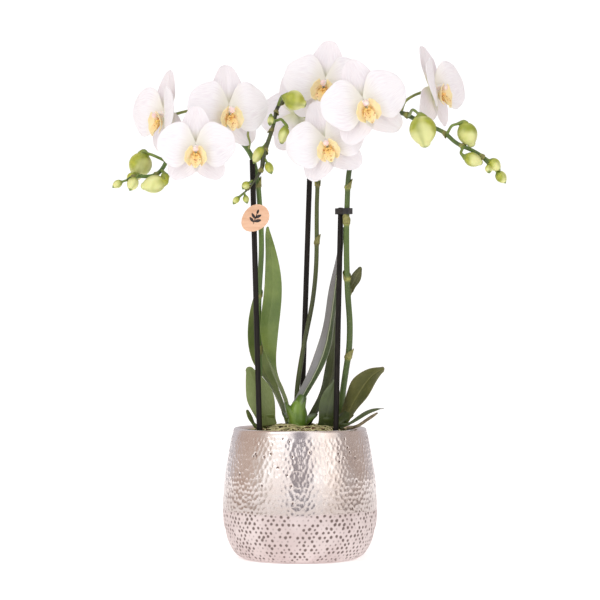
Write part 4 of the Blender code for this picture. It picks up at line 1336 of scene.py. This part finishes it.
def build_tag_mark():
    """A plain printed sprig on the front of the tag."""
    points = points_of("name_tag")
    middle = points.mean(0)
    _, axes = np.linalg.eigh(np.cov((points - middle).T))
    front = axes[:, 0] * -np.sign(axes[1, 0])
    right = unit(np.cross(UP, -front))
    up = np.cross(-front, right)
    if right[0] < 0:
        right = -right
    face = middle + front * (abs((points - middle) @ front).max() + INK_GAP)
    grids = []
    share = np.linspace(0.0, 1.0, 12)[:, None]
    for x, y, angle, length, half in SPRIG:
        way = math.radians(angle)
        along = length * share
        breadth = half * np.sin(math.pi * (0.03 + 0.94 * share)) ** 0.8
        side = np.linspace(-1.0, 1.0, 5)[None, :] * breadth
        flat_x = x + along * math.sin(way) + side * math.cos(way)
        flat_y = y + along * math.cos(way) - side * math.sin(way)
        grids.append((face + flat_x[..., None] * right + flat_y[..., None] * up, {}))
    ink = plain_look("tag_ink", (34, 28, 26), (56, 46, 42), 0.6, 300.0, 0.02)
    mark = thicken(surfaces("tag_mark", grids, ink), 0.1)


def build_rest():
    """What keeps its CAD shape: the inner pot, growing medium, crowns, clips and tag, and the tag's print."""
    dress("grow_pot", plain_look("grow_pot_plastic", (44, 44, 46), (58, 58, 60), 0.5, 90.0, 0.1))
    dress("growing_medium", plain_look("bark_bed", (58, 42, 28), (98, 74, 50), 0.95, 160.0, 0.8))
    crown = plain_look("crown_green", (96, 122, 40), (126, 150, 62), 0.38, 110.0, 0.15)
    for side in ("left", "centre", "right"):
        dress(f"crown_{side}", crown, remesh=0.5)
    clip = plain_look("clip_plastic", (24, 22, 22), (40, 38, 38), 0.35, 300.0, 0.05)
    for node in ("clip_right", "tag_clip"):
        dress(node, clip, bevel=0.25)
    dress("name_tag", tag_look(), bevel=0.3)
    build_tag_mark()


# Stage

CAMERA_AWAY = 1.8
CAMERA_HEIGHT = 0.198
SENSOR = 36.0
SEEN_WIDTH = 0.4615
WHITE = (1.0, 1.0, 1.0, 1.0)
BACKDROP_STRENGTH = 1.1
STUDIO_STRENGTH = 0.72
FLOOR_GLOW = 0.46
FLOOR_SPAN = 8.0
FLOOR_DROP = 0.0002

# The soft boxes: name, place, size and power
LIGHTS = (
    ("key", (-1.2, -1.3, 1.5), 1.1, 7.5),
    ("fill", (1.4, -1.1, 0.8), 1.2, 2.2),
    ("top", (0.1, 0.5, 1.9), 1.2, 3.0),
)
LIGHT_AIM = (0.0, 0.0, 0.2)

# What the object sees around it: degrees from the camera's side, and the colour there
WALLS = (
    (-180, (0.86, 0.84, 0.88)), (-136, (0.84, 0.80, 0.84)), (-118, (0.74, 0.58, 0.50)),
    (-84, (0.80, 0.62, 0.52)), (-64, (0.95, 0.86, 0.80)), (-46, (1.85, 1.85, 1.85)),
    (-16, (1.8, 1.8, 1.85)), (-9, (0.42, 0.40, 0.46)), (9, (0.42, 0.40, 0.46)),
    (16, (1.8, 1.8, 1.85)), (42, (1.65, 1.6, 1.55)), (60, (0.85, 0.74, 0.66)),
    (72, (0.52, 0.46, 0.45)), (88, (0.66, 0.56, 0.52)), (112, (0.72, 0.61, 0.55)),
    (138, (0.84, 0.80, 0.84)), (180, (0.86, 0.84, 0.88)),
)


def build_world():
    """A white studio with broad soft boxes, warm walls to the sides and a dim gap behind the camera."""
    world = bpy.data.worlds.new("studio")
    world.use_nodes = True
    world.node_tree.nodes.clear()
    sky = Nodes(world.node_tree)
    way = sky.node("SeparateXYZ", {0: sky.node("TexCoord", {}).outputs["Generated"]}).outputs
    flip = sky.node("Math", {0: way["Y"], 1: -1.0}, operation="MULTIPLY").outputs[0]
    turn = sky.node("Math", {0: way["X"], 1: flip}, operation="ARCTAN2").outputs[0]
    share = sky.node("MapRange", {"Value": turn, "From Min": -math.pi, "From Max": math.pi}).outputs[0]
    walls = sky.node("ValToRGB", {"Fac": share})
    stops = walls.color_ramp.elements
    while len(stops) < len(WALLS):
        stops.new(0.5)
    for stop, (degrees, shade) in zip(stops, WALLS):
        stop.position = (degrees + 180) / 360
        stop.color = (*shade, 1.0)
    studio = sky.node("Background", {"Color": walls.outputs["Color"], "Strength": STUDIO_STRENGTH})
    backdrop = sky.node("Background", {"Color": WHITE, "Strength": BACKDROP_STRENGTH})
    seen = sky.node("LightPath", {}).outputs["Is Camera Ray"]
    mixed = sky.node("MixShader", {"Fac": seen, 1: studio.outputs[0], 2: backdrop.outputs[0]})
    sky.node("OutputWorld", {"Surface": mixed.outputs[0]})
    bpy.context.scene.world = world


def build_floor():
    """The white floor, which glows faintly."""
    look = Look("floor", Roughness=0.7, Emission_Color=WHITE, Emission_Strength=FLOOR_GLOW)
    tone = look.noise(3.0, 2.0)
    look.finish(look.blend(tone, (246, 246, 246), (250, 250, 250)), tone, 0.05)
    edges = ((-1, -1), (1, -1), (1, 1), (-1, 1))
    data = bpy.data.meshes.new("floor")
    data.from_pydata([(x * FLOOR_SPAN, y * FLOOR_SPAN, 0.0) for x, y in edges], [], [(0, 1, 2, 3)])
    data.materials.append(look.material)
    floor = linked("floor", data)
    floor.location.z = -FLOOR_DROP


def build_lights():
    for name, place, size, energy in LIGHTS:
        light = bpy.data.lights.new(name, "AREA")
        light.energy = energy
        light.size = size
        lamp = linked(name, light)
        lamp.location = place
        lamp.rotation_euler = (Vector(LIGHT_AIM) - Vector(place)).to_track_quat("-Z", "Y").to_euler()


def build_camera():
    camera = bpy.data.cameras.new("camera")
    camera.sensor_width = SENSOR
    camera.lens = SENSOR * CAMERA_AWAY / SEEN_WIDTH
    viewer = linked("camera", camera)
    viewer.location = (0.0, -CAMERA_AWAY, CAMERA_HEIGHT)
    viewer.rotation_euler = (math.radians(90), 0.0, 0.0)
    bpy.context.scene.camera = viewer
    bpy.context.scene.view_settings.view_transform = "Standard"


LOOKS = {
    "petal": petal_look("petal_white", (243, 239, 242), (229, 220, 227), (239, 234, 220)),
    "sepal": petal_look("sepal_white", (240, 234, 237), (224, 213, 219), (212, 213, 170)),
    "lip": lip_look(),
    "column": column_look(),
    "bud": bud_look(),
    "leaf": leaf_look("leaf_green", (120, 134, 72), (92, 110, 50), (144, 156, 96), (108, 122, 64), 0.3),
    "light_leaf": leaf_look("leaf_light", (126, 146, 70), (90, 114, 46), (146, 162, 92), (108, 122, 68), 0.15),
    # The tall right leaf: its left half is painted silver-grey, a painted sheen on its glossy surface.
    "sheen_leaf": leaf_look(
        "leaf_painted_sheen", (66, 86, 44), (44, 64, 32), (176, 182, 152), (156, 150, 148), 0.95,
        sheen=((152, 149, 151), (116, 114, 115)),
    ),
    # A darker copy of the leaf green: painted shade for the leaves that stand in shadow.
    "shaded_leaf": leaf_look("leaf_painted_shade", (74, 88, 42), (48, 60, 28), (100, 112, 62), (64, 76, 40), 0.3),
    "olive_leaf": leaf_look("leaf_olive", (100, 100, 50), (72, 76, 36), (130, 128, 76), (104, 94, 56), 0.5),
}

build_pot()
build_bark(*medium_height())
spikes = build_spikes()
build_buds(spikes)
build_stakes()
build_leaves(spikes)
build_root()
build_flowers(spikes)
build_rest()
build_floor()
build_world()
build_lights()
build_camera()
